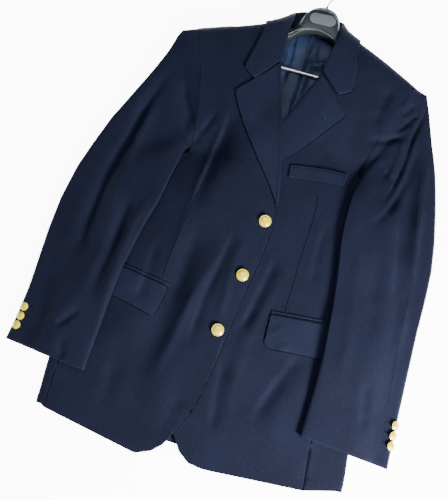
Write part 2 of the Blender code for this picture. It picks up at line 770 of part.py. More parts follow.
# The collar past the front, over the shoulder line and along the back neck, and the
# way from the stand to the fall there. A height of 1, 0 or -1 stands for the body's
# upper face, its shoulder line or its lower face at that point.
# ex, ey, ez, mx, my, mz, rx, ry, rz, sx, sy, sz, nx, ny, nz
COLLAR_BACK = (
    (88, 769, 1, 68, 777, 1, 44, 788, 31, 58, 778.5, 1, 0.3, 0.62, 0.72),
    (87, 776.5, 0, 66, 784.6, 0, 45, 805, 18, 60, 787.4, 18, 0.42, 0.9, 0.0),
    (87, 768, -1, 66, 777, -1, 41, 815, 7.3, 55, 787.6, 6.5, 0.25, 0.5, -0.82),
    (76, 757, -1, 58, 774, -1, 35, 821, 4.4, 46, 786.6, 4.4, 0, 0, -1),
    (44, 757, -1, 37, 777, -1, 21, 825.5, 4.4, 27, 786.6, 4.4, 0, 0, -1),
    (0, 756, -1, 0, 777, -1, 0, 827, 4.4, 0, 786.6, 4.4, 0, 0, -1),
)
COLLAR_SHIFT = 3.5     # the open neck lies this far to the wearer's left


def on_body(half, x, y, face):
    """Height of the body's upper face, its shoulder line or its lower face."""
    if face > 0:
        return float(half.face_top(x, y))
    if face < 0:
        return float(half.face_bottom(x, y))
    return float(half.height(x, y)) / 2


def collar_stations(half, table, field):
    """One half of the collar from gorge to centre back, points and layer direction."""
    out = []
    edge = np.vstack([half.top[:, :2], shoulder_rows(half)[:, :2]])
    for ex, ey, mx, my, rx, ry, sx, sy, h in table:
        row = []
        sx = np.interp(sy, edge[:, 1], edge[:, 0]) - half.sign * 0.8
        for px, py in ((ex, ey), (mx, my), (rx, ry), (sx, sy)):
            row += [px, py, float(field(px, py))]
        out.append(row + [0, 0, 1])
    for line in COLLAR_BACK:
        row = list(line)
        for k in (0, 3, 6, 9, 12):
            row[k] *= half.sign
        row[6] += COLLAR_SHIFT
        for k in (0, 3, 9):
            if row[k + 2] in (1, 0, -1):
                row[k + 2] = on_body(half, row[k], row[k + 1], row[k + 2])
        out.append(row)
    return out


def collar():
    """Stand and fall in one strip from one gorge round the neck to the other."""
    a = collar_stations(RIGHT, COLLAR_R, on_right)
    b = collar_stations(LEFT, COLLAR_L, on_left)
    panels = tree_of(["front_right", "front_left", "back_right", "back_left"])
    t = finer(a + b[-2::-1], 2)
    radius = CLOTH + LAYER / 2
    rows, ways = [], []
    for v in t:
        e, m, r, s, n = (np.array(v[k:k + 3]) for k in (0, 3, 6, 9, 12))
        n = n / np.linalg.norm(n)
        c = m - r
        c = c - n * float(np.dot(c, n))
        c = c / np.linalg.norm(c)
        start = r + c * radius
        row, way = [], []
        for u in (0, 0.5, 1.0):
            row.append(e * (1 - u) + m * u + n * STEP)
        row.append(m * 0.5 + start * 0.5 + n * STEP)
        centre = start + n * (STEP - radius)
        for deg in ARC:
            g = math.radians(deg)
            way.append(n * math.cos(g) - c * math.sin(g))
            row.append(centre + way[-1] * radius)
        row.append(start * 0.5 + s * 0.5 - n * CLOTH)
        row.append(s - n * CLOTH)
        rows.append(row)
        ways.append(way)
    grid = np.array(rows)
    normals = strip_normals(grid, 2)
    normals[:, 4:9] = np.array(ways)
    normals[:, 9:] *= 0.7
    fall = grid[:, :4] - normals[:, :4] * CLOTH
    layer = np.repeat(np.array(ways)[:, :1], 4, axis=1)
    turning = np.abs(layer[:, 0, 2]) < 0.97
    fall = cleared(fall, layer, panels, LAYER + 0.3)
    fall[turning] = cleared(fall[turning], layer[turning], panels, LAYER + 1.9)
    grid[:, :4] = fall + normals[:, :4] * CLOTH
    return wall("collar", grid, normals, CLOTH, "navy_wool")


collar()


def patch(name, field, rows, cols, lift, thick):
    """A flat piece that lies on a front: rows of left and right ends."""
    t = np.array(rows, float)
    u = np.linspace(0, 1, cols)
    plan = spread(t[:, :2], t[:, 2:], u)
    x, y = plan[..., 0], plan[..., 1]

    def raised(px, py):
        return field(px, py) + lift + thick

    outer = np.dstack([x, y, raised(x, y)])
    return wall(name, outer, grid_normals(outer, (0, 0, 1)), thick, "navy_wool")


# Breast welt, on the left front only.
patch("breast_welt", on_left,
      ((31, 493, 130, 508), (30.5, 499, 130.2, 515), (29.5, 511, 130.8, 528),
       (29, 517, 131, 534)), 12, 0.8, THIN)

# Hip pockets: a jetting strip over the mouth, and the flap that hangs from it.
patch("flap_right", on_right,
      ((-233, 212, -137, 194), (-236.5, 216, -127, 193), (-238, 225, -122.5, 199),
       (-239, 245, -117.5, 224), (-239, 264, -114, 247)), 13, 0.8, THIN)
patch("flap_left", on_left,
      ((79, 195, 192, 205), (72, 199, 197, 209), (70, 206, 199, 216),
       (69, 229, 201, 240), (68, 252, 202, 266)), 13, 0.8, THIN)
patch("jet_right", on_right,
      ((-239, 264.6, -114, 247.6), (-239, 270, -114, 253)), 13, 0.5, 0.8)
patch("jet_left", on_left,
      ((68, 252.6, 202, 266.6), (68, 258, 202, 272)), 13, 0.5, 0.8)

# Lining of the back, as far as the open neck shows it, with its centre pleat.
lining_x = np.array([-56, -40, -24, -11, -3.5, 0, 3.5, 11, 24, 40, 56])
lining_y = np.array([560, 600, 640, 680, 704, 722, 738, 760, 784.0])
lx, ly = np.meshgrid(lining_x, lining_y)
lx = lx * (0.7 + 0.3 * smooth((ly - 560) / 160)) * (1 - 0.22 * smooth((ly - 725) / 35))
on_back = resting(tree_of(["back_right", "back_left"]), LEFT.face_bottom, 4.0, 12.0, 1.0)
pleat = 3.2 * np.exp(-((lx - 1.5) / 3.6) ** 2)
waves = 0.8 * smooth((np.abs(lx) - 12) / 20) * (1 + np.sin(ly / 23 + lx / 31))
lz = on_back(lx, ly) + 0.5 + LINING + pleat + waves
lining_grid = np.dstack([lx, ly, lz])
wall("back_lining", lining_grid, grid_normals(lining_grid, (0, 0, 1)), LINING,
     "satin_lining")


def lathe(name, profile, centre, axis, steps, mat):
    """A turned piece: radius and height pairs about an axis."""
    z = np.array(axis, float)
    z /= np.linalg.norm(z)
    x = np.cross((0, 1, 0) if abs(z[1]) < 0.9 else (0, 0, 1), z)
    x /= np.linalg.norm(x)
    y = np.cross(z, x)
    points, faces = [], []
    for r, h in profile:
        for k in range(steps):
            a = 2 * math.pi * k / steps
            points.append(np.array(centre) + z * h
                          + (x * math.cos(a) + y * math.sin(a)) * r)
    for i in range(len(profile) - 1):
        for k in range(steps):
            a, b = i * steps + k, i * steps + (k + 1) % steps
            faces.append((a, b, b + steps, a + steps))
    faces.append(tuple(range(steps))[::-1])
    last = (len(profile) - 1) * steps
    faces.append(tuple(range(last, last + steps)))
    return add_mesh(name, points, faces, mat)


def button_profile(r):
    """Shank, flat back, rolled rim and domed face."""
    k = r / 10.8
    return ((2.2 * k, 0), (2.2 * k, 2.0 * k), (9.4 * k, 2.6 * k), (10.5 * k, 3.0 * k),
            (10.8 * k, 3.7 * k), (10.3 * k, 4.4 * k), (8.4 * k, 5.5 * k),
            (5.6 * k, 6.5 * k), (2.6 * k, 7.0 * k))


for number, (bx, by) in enumerate(((14, 404), (3, 302), (-11, 200)), 1):
    around = [right_top(bx + 2.4 * math.cos(g), by + 2.4 * math.sin(g))
              for g in np.linspace(0, 6.28, 9)]
    lathe(f"button_{number}", button_profile(BUTTON_R),
          (bx, by, max(around) + 0.4), normals_of(right_top, np.array([float(bx)]),
                                                  np.array([float(by)]), 1)[0],
          16, "gilt_brass")


def on_sleeve(grid, normals, row, col):
    """A point and normal on a sleeve, between rows and columns."""
    i, j = int(row), int(col)
    u, v = row - i, col - j
    p = (grid[i, j] * (1 - u) * (1 - v) + grid[i + 1, j] * u * (1 - v)
         + grid[i, j + 1] * (1 - u) * v + grid[i + 1, j + 1] * u * v)
    n = normals[i, j] * (1 - v) + normals[i, j + 1] * v
    return p, n / np.linalg.norm(n)


def sleeve_row(grid, col, y):
    """The row at which a column of the sleeve passes a height y."""
    ys = grid[:, col, 1]
    for i in range(len(ys) - 1, 0, -1):
        if ys[i] <= y <= ys[i - 1]:
            return i - 1 + (ys[i - 1] - y) / (ys[i - 1] - ys[i])
    return len(ys) - 2


for tag, grid, norm, ys, column in (("right", grid_r, normal_r, (146, 129, 112), 9.3),
                                    ("left", grid_l, normal_l, (133, 116, 99), 9.9)):
    for number, y in enumerate(ys, 1):
        p, n = on_sleeve(grid, norm, sleeve_row(grid, 10, y), column)
        lathe(f"cuff_button_{tag}_{number}", button_profile(CUFF_BUTTON_R),
              p + n * 0.55, n, 10, "gilt_brass")

# Hanger body: a loft of rounded sections from tip to tip.
hanger_points, hanger_faces = [], []
ring = 12
for x, y0, y1, z0, z1 in HANGER:
    cy, cz, ry, rz = (y0 + y1) / 2, (z0 + z1) / 2, (y1 - y0) / 2, (z1 - z0) / 2
    for k in range(ring):
        a = 2 * math.pi * k / ring
        c, s = math.cos(a), math.sin(a)
        hanger_points.append((x + HANGER_X, cy + ry * math.copysign(abs(c) ** 0.6, c),
                              cz + rz * math.copysign(abs(s) ** 0.6, s)))
for i in range(len(HANGER) - 1):
    for k in range(ring):
        a, b = i * ring + k, i * ring + (k + 1) % ring
        hanger_faces.append((a, b, b + ring, a + ring))
hanger_faces.append(tuple(range(ring))[::-1])
end = (len(HANGER) - 1) * ring
hanger_faces.append(tuple(range(end, end + ring)))
add_mesh("hanger_body", hanger_points, hanger_faces, "black_plastic")


def tube(name, path, radius, steps, mat):
    """A round wire along a path."""
    p = np.array(path, float)
    t = np.gradient(p, axis=0)
    t /= np.linalg.norm(t, axis=1, keepdims=True)
    points, faces = [], []
    for q, d in zip(p, t):
        x = np.cross(d, (0, 0, 1.0))
        x /= np.linalg.norm(x)
        y = np.cross(d, x)
        for k in range(steps):
            a = 2 * math.pi * k / steps
            points.append(q + (x * math.cos(a) + y * math.sin(a)) * radius)
    for i in range(len(p) - 1):
        for k in range(steps):
            a, b = i * steps + k, i * steps + (k + 1) % steps
            faces.append((a, b, b + steps, a + steps))
    faces.append(tuple(range(steps))[::-1])
    last = (len(p) - 1) * steps
    faces.append(tuple(range(last, last + steps)))
    return add_mesh(name, points, faces, mat)


# Trouser bar: a wire with its ends turned up to the hanger's arms.
bar_path = [(-142, 707.5, 10)]
for deg in (10, 35, 60, 90):
    g = math.radians(deg)
    bar_path.append((-137 - 5 * math.cos(g), 706.9 - 5 * math.sin(g), 10))
for x in (-60, 60):
    bar_path.append((x, 701.9, 10))
for deg in (90, 60, 35, 10):
    g = math.radians(deg)
    bar_path.append((137 + 5 * math.cos(g), 706.9 - 5 * math.sin(g), 10))
bar_path.append((142, 707.5, 10))
bar_path = [(x + HANGER_X, y, z) for x, y, z in bar_path]
tube("trouser_bar", bar_path, 2.9, 10, "bright_steel")

# Blank oval badge on the neck block.
badge_points, badge_faces = [], []
outline = []
for k in range(24):
    a = 2 * math.pi * k / 24
    px = math.copysign(13.5, math.cos(a)) + 11.0 * math.cos(a)
    outline.append((px, 11.0 * math.sin(a)))
turn = math.radians(2)
for z in (39.35, 40.5):
    for px, py in outline:
        badge_points.append((11 + px * math.cos(turn) - py * math.sin(turn),
                             803.5 + px * math.sin(turn) + py * math.cos(turn), z))
for k in range(24):
    a, b = k, (k + 1) % 24
    badge_faces.append((a, b, b + 24, a + 24))
badge_faces.append(tuple(range(24))[::-1])
badge_faces.append(tuple(range(24, 48)))
add_mesh("hanger_badge", badge_points, badge_faces, "grey_plastic")

# Hook: black ferrule, then a plain bent wire in the hanger's plane.
lathe("hook_ferrule", ((3.4, 0), (3.9, 0.8), (3.4, 8.0), (2.6, 9.0)), (12, 831.2, 24),
      (0, 1, 0), 14, "black_plastic")
hook_path = [(12, 840.5, 24), (12, 848, 24)]
for deg in range(-60, 181, 24):
    g = math.radians(deg)
    hook_path.append((12 + 21 * math.cos(g), 882 + 21 * math.sin(g), 24))
tube("hanger_hook", hook_path, 1.7, 8, "bright_steel")

# The neck end of the shoulders lies pulled up a little, more on the left.
# x, rise
PULLED = ((-120, 0), (-88, 1), (-50, 4.5), (-20, 3), (20, 3), (55, 11), (90, 9),
          (150, 5), (205, 0))
pulled_x, pulled_y = np.array(finer(PULLED, 4)).T
for piece in bpy.context.scene.objects:
    if piece.name.startswith(("hanger", "hook", "trouser")):
        continue
    for v in piece.data.vertices:
        rise = np.interp(v.co.x * 1000, pulled_x, pulled_y, left=0, right=0)
        v.co.y += float(rise * smooth((v.co.y * 1000 - 640) / 130)) / 1000

# The set stands centred over its own box.
low = np.full(3, 1e9)
high = -low
for piece in bpy.context.scene.objects:
    for v in piece.data.vertices:
        low = np.minimum(low, v.co)
        high = np.maximum(high, v.co)
shift = ((low[0] + high[0]) / 2, (low[1] + high[1]) / 2, low[2])
for piece in bpy.context.scene.objects:
    for v in piece.data.vertices:
        v.co.x -= shift[0]
        v.co.y -= shift[1]
        v.co.z -= shift[2]
print("shift", [round(c * 1000, 3) for c in shift],
      "size", [round(c * 1000, 1) for c in (high - low)])
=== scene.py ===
# %% [markdown]
# # Blazer laid flat on its hanger
# This script dresses a plain solid model of a blazer. Each cloth panel is copied from its
# solid, smoothed, creased and given a wool, satin, brass or plastic material.
# It starts by loading the solids, which stay where they are.

# %% Load the solids
import math

import bmesh
import bpy
import numpy as np
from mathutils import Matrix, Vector, noise
from mathutils.bvhtree import BVHTree


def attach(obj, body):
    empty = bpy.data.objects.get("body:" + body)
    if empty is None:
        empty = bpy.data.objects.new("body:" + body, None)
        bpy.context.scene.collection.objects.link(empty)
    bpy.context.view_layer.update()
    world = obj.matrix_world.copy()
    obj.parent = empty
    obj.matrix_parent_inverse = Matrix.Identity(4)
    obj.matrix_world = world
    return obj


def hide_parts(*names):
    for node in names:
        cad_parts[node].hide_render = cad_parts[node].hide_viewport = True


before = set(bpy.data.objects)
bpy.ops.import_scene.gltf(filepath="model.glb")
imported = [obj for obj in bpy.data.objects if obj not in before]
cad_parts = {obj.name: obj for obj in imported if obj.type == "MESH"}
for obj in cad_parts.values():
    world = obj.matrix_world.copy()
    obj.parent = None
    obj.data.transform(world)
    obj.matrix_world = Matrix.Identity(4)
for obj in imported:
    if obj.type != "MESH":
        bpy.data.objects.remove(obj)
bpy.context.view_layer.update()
print("solids", len(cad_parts))

# %% [markdown]
# Positions are read off the garment in millimetres: x from the centre back towards the
# wearer's left, y from the hem up to the neck. One small function turns them into scene
# metres, one selects a single object the way a click does, and one counts triangles.

# %% Places and selection
CENTRE_X = 15.74
CENTRE_Y = -435.79


def at(x, y, z=0.0):
    return Vector(((x + CENTRE_X) / 1000, (y + CENTRE_Y) / 1000, z / 1000))


def pick(piece):
    bpy.ops.object.select_all(action="DESELECT")
    piece.select_set(True)
    bpy.context.view_layer.objects.active = piece


def triangles(piece):
    piece.data.calc_loop_triangles()
    return len(piece.data.loop_triangles)


# %% [markdown]
# Colours are written as sRGB hex, the way a colour picker shows them. Materials are node
# trees, and one short function adds a node, sets its values and links its inputs.

# %% Colour and node helpers
def hex_colour(text):
    values = [int(text[i:i + 2], 16) / 255 for i in (1, 3, 5)]
    linear = [v / 12.92 if v <= 0.04045 else ((v + 0.055) / 1.055) ** 2.4 for v in values]
    return (*linear, 1.0)


def node(material, kind, links=None, **settings):
    made = material.node_tree.nodes.new(kind)
    for name, value in settings.items():
        setattr(made, name, value)
    for socket, value in (links or {}).items():
        if isinstance(value, bpy.types.NodeSocket):
            material.node_tree.links.new(value, made.inputs[socket])
        else:
            made.inputs[socket].default_value = value
    return made


def new_material(name):
    made = bpy.data.materials.new(name)
    made.use_nodes = True
    return made, made.node_tree.nodes["Principled BSDF"]


# %% [markdown]
# ## Wool
# A worsted twill: fine diagonal ribs, a short nap, and a soft unevenness of tone some
# centimetres wide. The real ribs are half a millimetre apart, which the picture can't show,
# so they are drawn 2 mm apart. Sheen gives the cloth its bluish bloom at grazing angles.

# %% Wool material
def wool(name, base, shade, bloom, sheen=0.35, rib=2.0):
    made, shader = new_material(name)
    tree = made.node_tree
    place = node(made, "ShaderNodeTexCoord").outputs["Object"]
    ribs = node(made, "ShaderNodeTexWave", {"Vector": place, "Scale": 314 / rib,
                "Distortion": 0.8, "Detail": 1.0, "Detail Scale": 2.0},
                bands_direction="DIAGONAL")
    nap = node(made, "ShaderNodeTexNoise", {"Vector": place, "Scale": 420.0, "Detail": 4.0,
               "Roughness": 0.65})
    cloud = node(made, "ShaderNodeTexNoise", {"Vector": place, "Scale": 17.0, "Detail": 4.0})
    grain = node(made, "ShaderNodeMath", {0: nap.outputs["Fac"], 1: 0.72},
                 operation="MULTIPLY")
    drift = node(made, "ShaderNodeMath", {0: cloud.outputs["Fac"], 1: 0.28},
                 operation="MULTIPLY")
    tone = node(made, "ShaderNodeMath", {0: grain.outputs[0], 1: drift.outputs[0]},
                operation="ADD")
    ramp = node(made, "ShaderNodeMapRange", {"Value": tone.outputs[0], "From Min": 0.36,
                "From Max": 0.64})
    mix = node(made, "ShaderNodeMix", {"Factor": ramp.outputs["Result"]}, data_type="RGBA")
    mix.inputs["A"].default_value = hex_colour(shade)
    mix.inputs["B"].default_value = hex_colour(base)
    tree.links.new(mix.outputs["Result"], shader.inputs["Base Color"])
    weave = node(made, "ShaderNodeMath", {0: ribs.outputs["Fac"], 1: nap.outputs["Fac"]},
                 operation="ADD")
    bump = node(made, "ShaderNodeBump", {"Strength": 0.3, "Distance": 0.0004,
                "Height": weave.outputs[0]})
    tree.links.new(bump.outputs["Normal"], shader.inputs["Normal"])
    shader.inputs["Roughness"].default_value = 0.8
    shader.inputs["Specular IOR Level"].default_value = 0.12
    shader.inputs["Sheen Weight"].default_value = sheen
    shader.inputs["Sheen Roughness"].default_value = 0.4
    shader.inputs["Sheen Tint"].default_value = hex_colour(bloom)
    return made


WOOL = wool("navy_worsted_wool", "#181d35", "#0f1325", "#4c6298", 0.1)
WOOL_TURNED = wool("navy_wool_turned_grain", "#1c223b", "#13182b", "#5a6fa4", 0.14)
# Nearly black wool, painted shade, for cords and strips where seams, creases and gaps lie in
# shade.
WOOL_SEAM_SHADOW = wool("navy_wool_seam_shadow", "#05070c", "#030408", "#1a2338", 0.05)
# Darker wool for the steep walls of turned edges: painted shade.
WOOL_RIM_PAINTED_SHADE = wool("navy_wool_rim_painted_shade", "#0d1121", "#080b16", "#1a2338", 0.05)
WOOL_THREAD = wool("navy_buttonhole_thread", "#2c3352", "#1e2440", "#6676a8", 0.2, 1.0)

# %% [markdown]
# ## Satin, brass, plastic and steel
# Satin's long floats of warp stretch its highlights, so its noise is drawn out along the
# body. The buttons are gilt brass. In the photograph their faces are pale with light, and a
# low metallic value comes a little nearer to that than a high one. The hanger is injection
# moulded in black; its ribs are a lighter grey, a painted highlight along its edges, and the
# trouser bar is plated wire.

# %% Other materials
def satin(name, light, dark):
    made, shader = new_material(name)
    tree = made.node_tree
    place = node(made, "ShaderNodeTexCoord").outputs["Object"]
    stretch = node(made, "ShaderNodeMapping", {"Vector": place, "Scale": (1.0, 0.08, 1.0)})
    warp = node(made, "ShaderNodeTexNoise", {"Vector": stretch.outputs[0], "Scale": 900.0,
                "Detail": 3.0})
    folds = node(made, "ShaderNodeTexNoise", {"Vector": place, "Scale": 34.0, "Detail": 3.0})
    blend = node(made, "ShaderNodeMath", {0: warp.outputs["Fac"], 1: folds.outputs["Fac"]},
                 operation="MULTIPLY")
    ramp = node(made, "ShaderNodeMapRange", {"Value": blend.outputs[0], "From Min": 0.12,
                "From Max": 0.42})
    mix = node(made, "ShaderNodeMix", {"Factor": ramp.outputs["Result"]}, data_type="RGBA")
    mix.inputs["A"].default_value = hex_colour(dark)
    mix.inputs["B"].default_value = hex_colour(light)
    tree.links.new(mix.outputs["Result"], shader.inputs["Base Color"])
    bump = node(made, "ShaderNodeBump", {"Strength": 0.25, "Distance": 0.0003,
                "Height": warp.outputs["Fac"]})
    tree.links.new(bump.outputs["Normal"], shader.inputs["Normal"])
    shader.inputs["Roughness"].default_value = 0.5
    shader.inputs["Specular IOR Level"].default_value = 0.3
    shader.inputs["Anisotropic"].default_value = 0.2
    shader.inputs["Sheen Weight"].default_value = 0.15
    shader.inputs["Sheen Tint"].default_value = hex_colour("#6f90cc")
    return made


def moulded(name, base, roughness, metallic=0.0, grain=0.02, scale=700.0, coat=0.0):
    made, shader = new_material(name)
    tree = made.node_tree
    place = node(made, "ShaderNodeTexCoord").outputs["Object"]
    fine = node(made, "ShaderNodeTexNoise", {"Vector": place, "Scale": scale, "Detail": 3.0})
    wear = node(made, "ShaderNodeTexNoise", {"Vector": place, "Scale": 60.0, "Detail": 4.0})
    rough = node(made, "ShaderNodeMapRange", {"Value": wear.outputs["Fac"],
                 "To Min": roughness * 0.8, "To Max": roughness * 1.25})
    tree.links.new(rough.outputs["Result"], shader.inputs["Roughness"])
    bump = node(made, "ShaderNodeBump", {"Strength": grain * 10, "Distance": 0.0002,
                "Height": fine.outputs["Fac"]})
    tree.links.new(bump.outputs["Normal"], shader.inputs["Normal"])
    shader.inputs["Base Color"].default_value = hex_colour(base)
    shader.inputs["Metallic"].default_value = metallic
    shader.inputs["Coat Weight"].default_value = coat
    return made


SATIN = satin("blue_satin_lining", "#2a3e62", "#17233d")
# name, base colour, roughness, metallic, grain, grain scale, coat
BRASS = moulded("gilt_brass", "#ffe23e", 0.26, 0.12, 0.03, 400.0, 0.6)
BLACK = moulded("black_moulded_plastic", "#20282e", 0.5, 0.0, 0.02, 900.0)
RIB_PAINTED_HIGHLIGHT = moulded("rib_painted_highlight_plastic", "#656d73", 0.3, 0.0, 0.01, 900.0, 0.4)
GREY = moulded("grey_badge_plastic", "#666e76", 0.5, 0.0, 0.05, 1200.0)
STEEL = moulded("plated_steel_wire", "#f0f2f4", 0.3, 1.0, 0.02, 500.0)
print("materials", [m.name for m in bpy.data.materials])

# %% [markdown]
# ## Folds
# The creases of a laid-out jacket are long, soft and uneven. Each one here is a row of a
# table: its half width and depth in millimetres (a trough is negative), how much steeper
# one flank is, and the places that it runs through. The same table moves every layer of
# the front, so that lapel, flap, welt and front stay one above the other.

# %% Fold tables and how far they move a point
# half width, depth, steeper flank, path of (x, y)
BODY_ALONE = (
    (17, -5.5, -2.6, ((-100, 600), (-103, 540), (-108, 480), (-112, 430), (-113, 390))),
    (5, 1.3, 0.0, ((-112, 560), (-117, 480), (-121, 420), (-125, 340), (-131, 262))),
    (16, -3.7, 0.0, ((-92, 400), (-98, 320), (-99, 236), (-104, 169), (-118, 70))),
    (9, 2.6, 0.0, ((-45, 350), (-54, 300), (-70, 240), (-80, 170), (-96, 85))),
    (10, -3.3, -1.2, ((-28, 390), (-40, 316), (-50, 259), (-54, 150))),
    (8, 1.8, 0.0, ((-10, 375), (-19, 312), (-16, 267), (-15, 185))),
    (12, -3.3, -1.2, ((52, 360), (44, 300), (34, 249), (26, 195))),
    (10, 2.0, 0.0, ((66, 330), (58, 280), (44, 230), (35, 144), (48, 50))),
    (12, -2.6, -0.8, ((14, 175), (16, 110), (28, 25))),
    (14, -3.5, -1.0, ((140, 210), (118, 160), (98, 108), (86, 60))),
    (10, -2.2, -1.0, ((118, 440), (116, 380), (122, 310))),
    (12, -1.4, 0.0, ((203, 80), (204, 34), (205, -4))),
    (13, 2.6, 0.0, ((152, 505), (151, 440), (156, 373), (166, 303), (177, 217), (186, 133),
                    (188, 90))),
    (14, -2.2, 0.0, ((-168, 165), (-162, 82), (-160, 5))),
    (10, 1.5, 0.0, ((-142, 520), (-128, 560), (-112, 600))),
    (14, -2.0, 0.0, ((60, 590), (88, 560), (120, 545))),
    (16, 1.4, 0.0, ((-60, 640), (-72, 560), (-66, 500))),
    (12, -1.5, 0.0, ((-40, 90), (-46, 40), (-60, -5))),
    (12, -1.8, -1.0, ((-160, 330), (-156, 280), (-160, 200))),
    (13, 1.8, 0.0, ((78, 236), (98, 214), (112, 186))),
    (15, -1.7, 0.0, ((126, 700), (130, 640), (118, 580))),
)
# Those that cross an armhole move the body and the sleeve alike.
ARMHOLE_FOLDS = (
    (11, -3.1, 0.3, ((168, 715), (160, 680), (152, 630))),
    (8, -3.1, 0.5, ((-156, 505), (-140, 545), (-122, 590))),
    (6, -2.5, 0.0, ((-205, 622), (-186, 584), (-160, 540))),
    (7, -5.0, 0.6, ((150, 606), (172, 613), (192, 621), (216, 636))),
)
BODY_FOLDS = ARMHOLE_FOLDS + BODY_ALONE
RIGHT_SLEEVE_FOLDS = ARMHOLE_FOLDS + (
    (10, -5.9, 0.4, ((-220, 655), (-240, 610), (-257, 555), (-262, 496), (-277, 437),
                     (-282, 363), (-286, 310), (-281, 250))),
    (10, 3.1, 0.0, ((-226, 600), (-248, 520), (-254, 440), (-257, 363), (-254, 300))),
    (10, -4.2, 0.3, ((-222, 400), (-228, 350), (-229, 280), (-235, 238), (-234, 180))),
    (9, 3.1, 0.0, ((-183, 410), (-203, 352), (-209, 296), (-212, 228), (-211, 150))),
    (14, 2.5, 0.0, ((-288, 480), (-304, 420), (-312, 326), (-309, 233), (-301, 164))),
    (8, -3.4, 0.3, ((-244, 168), (-262, 146), (-284, 122))),
    (7, -2.2, 0.0, ((-262, 112), (-256, 92), (-248, 76))),
    (9, -2.0, 0.0, ((-296, 296), (-276, 276), (-250, 262))),
)
LEFT_SLEEVE_FOLDS = ARMHOLE_FOLDS + (
    (6, -6.2, -1.6, ((238, 700), (233, 672), (227, 640), (225, 600), (221, 555), (213, 520),
                     (198, 492))),
    (4.5, 2.5, 0.0, ((234, 660), (231, 612), (227, 566), (218, 526), (206, 494))),
    (8, -5.3, -1.2, ((243, 620), (239, 588), (234, 548), (224, 506), (208, 470), (192, 446))),
    (6, 2.5, 0.0, ((216, 640), (213, 600), (209, 560), (198, 520))),
    (15, -6.2, -0.8, ((243, 610), (245, 545), (250, 478), (258, 402), (268, 320))),
    (8, 3.6, 0.0, ((258, 620), (264, 560), (274, 470), (284, 385), (288, 335))),
    (4.5, -2.8, 0.0, ((196, 666), (206, 679), (216, 694))),
    (4.5, -2.8, 0.0, ((203, 650), (214, 663), (228, 680))),
    (4.5, -2.2, 0.0, ((196, 640), (208, 650), (222, 662))),
    (9, 2.8, 0.0, ((284, 350), (289, 300), (291, 235))),
    (16, -3.1, -0.6, ((214, 425), (226, 340), (242, 250))),
    (12, 2.2, 0.0, ((180, 430), (194, 330), (204, 240), (210, 150))),
    (10, -2.8, -0.5, ((250, 195), (258, 150), (266, 104))),
    (8, -3.1, 0.4, ((180, 575), (196, 556), (222, 540))),
)
BACK_FOLDS = (
    (16, 2.2, 0.2, ((-120, 610), (-100, 540), (-84, 430))),
    (18, 2.0, 0.0, ((-60, 400), (-74, 300), (-70, 180), (-84, 60))),
    (14, 2.1, 0.3, ((96, 600), (84, 500), (88, 380))),
    (17, 1.8, 0.0, ((52, 360), (64, 240), (58, 90))),
    (12, 2.0, -0.3, ((-30, 640), (-20, 560), (-26, 470))),
    (13, 1.7, 0.0, ((26, 240), (20, 150), (26, 40))),
)
UNDER_SLEEVE_FOLDS = (
    (12, 2.2, 0.2, ((-230, 560), (-258, 470), (-268, 350), (-272, 240))),
    (10, 2.0, 0.0, ((-196, 420), (-222, 330), (-240, 210))),
    (12, 2.2, -0.2, ((214, 600), (232, 500), (246, 380), (256, 260))),
    (10, 1.8, 0.0, ((196, 440), (214, 340), (232, 220))),
)
LINING_FOLDS = (
    (3.5, -3.4, -1.2, ((6, 810), (4, 793), (2, 740), (0, 701), (-1, 660), (-4, 600))),
    (7, 2.5, 0.0, ((14, 790), (12, 740), (9, 690), (6, 640))),
    (4, -2.5, 0.6, ((-30, 790), (-28, 768), (-25, 715), (-26, 670))),
    (8, 1.7, 0.0, ((-16, 770), (-14, 720), (-13, 670))),
    (9, 6.5, 0.6, ((0, 724), (14, 724), (30, 728), (48, 740))),
    (8, -2.0, 0.0, ((4, 742), (22, 744), (40, 750))),
    (8, 2.5, 0.0, ((16, 668), (8, 646), (2, 620))),
    (7, 1.7, 0.0, ((-38, 760), (-30, 735), (-34, 700))),
)


def rounded(path, rounds=3):
    line = np.array(path, float)
    for _ in range(rounds):
        inner = np.empty((2 * len(line) - 2, 2))
        inner[0::2] = line[:-1] * 0.75 + line[1:] * 0.25
        inner[1::2] = line[:-1] * 0.25 + line[1:] * 0.75
        line = np.vstack((line[:1], inner, line[-1:]))
    return line


def smooth(t):
    t = np.clip(t, 0, 1)
    return t * t * (3 - 2 * t)


def fold_height(x, y, folds):
    """Rise in millimetres of the points (x, y) under a table of folds."""
    rise = np.zeros(len(x))
    spot = np.stack((x, y), axis=1)
    for width, depth, lean, path in folds:
        line = rounded(path)
        low, high = line.min(0) - 4 * width, line.max(0) + 4 * width
        near = np.nonzero(((spot > low) & (spot < high)).all(1))[0]
        p = spot[near]
        run = np.concatenate(([0], np.cumsum(np.hypot(*np.diff(line, axis=0).T))))
        away = np.full(len(p), 1e9)
        side = np.zeros(len(p))
        share = np.zeros(len(p))
        for i in range(len(line) - 1):
            step = line[i + 1] - line[i]
            length = np.hypot(*step)
            k = np.clip((p - line[i]) @ step / length ** 2, 0, 1)
            off = p - line[i] - k[:, None] * step
            far = np.hypot(*off.T)
            closer = far < away
            away[closer] = far[closer]
            side[closer] = np.sign(step[0] * off[closer, 1] - step[1] * off[closer, 0])
            share[closer] = (run[i] + k[closer] * length) / run[-1]
        across = away * side / width
        across = np.where(across * lean > 0, across * (1 + abs(lean)), across)
        ends = smooth(share / 0.28) * smooth((1 - share) / 0.28)
        uneven = 1 + 0.22 * np.sin(11 * share + width) + 0.12 * np.sin(23 * share - depth)
        rise[near] += depth * np.exp(-across ** 2) * ends * uneven
    return rise


print("folds", len(BODY_FOLDS), len(RIGHT_SLEEVE_FOLDS), len(LEFT_SLEEVE_FOLDS))

# %% [markdown]
# ## From solid to cloth
# A panel starts as a duplicate of its solid. In edit mode its corners are merged and its
# triangles become quads. The cut rim's edges are creased so that subdividing keeps it
# crisp, and its points too, so that a round hem doesn't shrink. Cloth could also be dropped
# in a simulation, but then the folds would fall anywhere, and these are known.

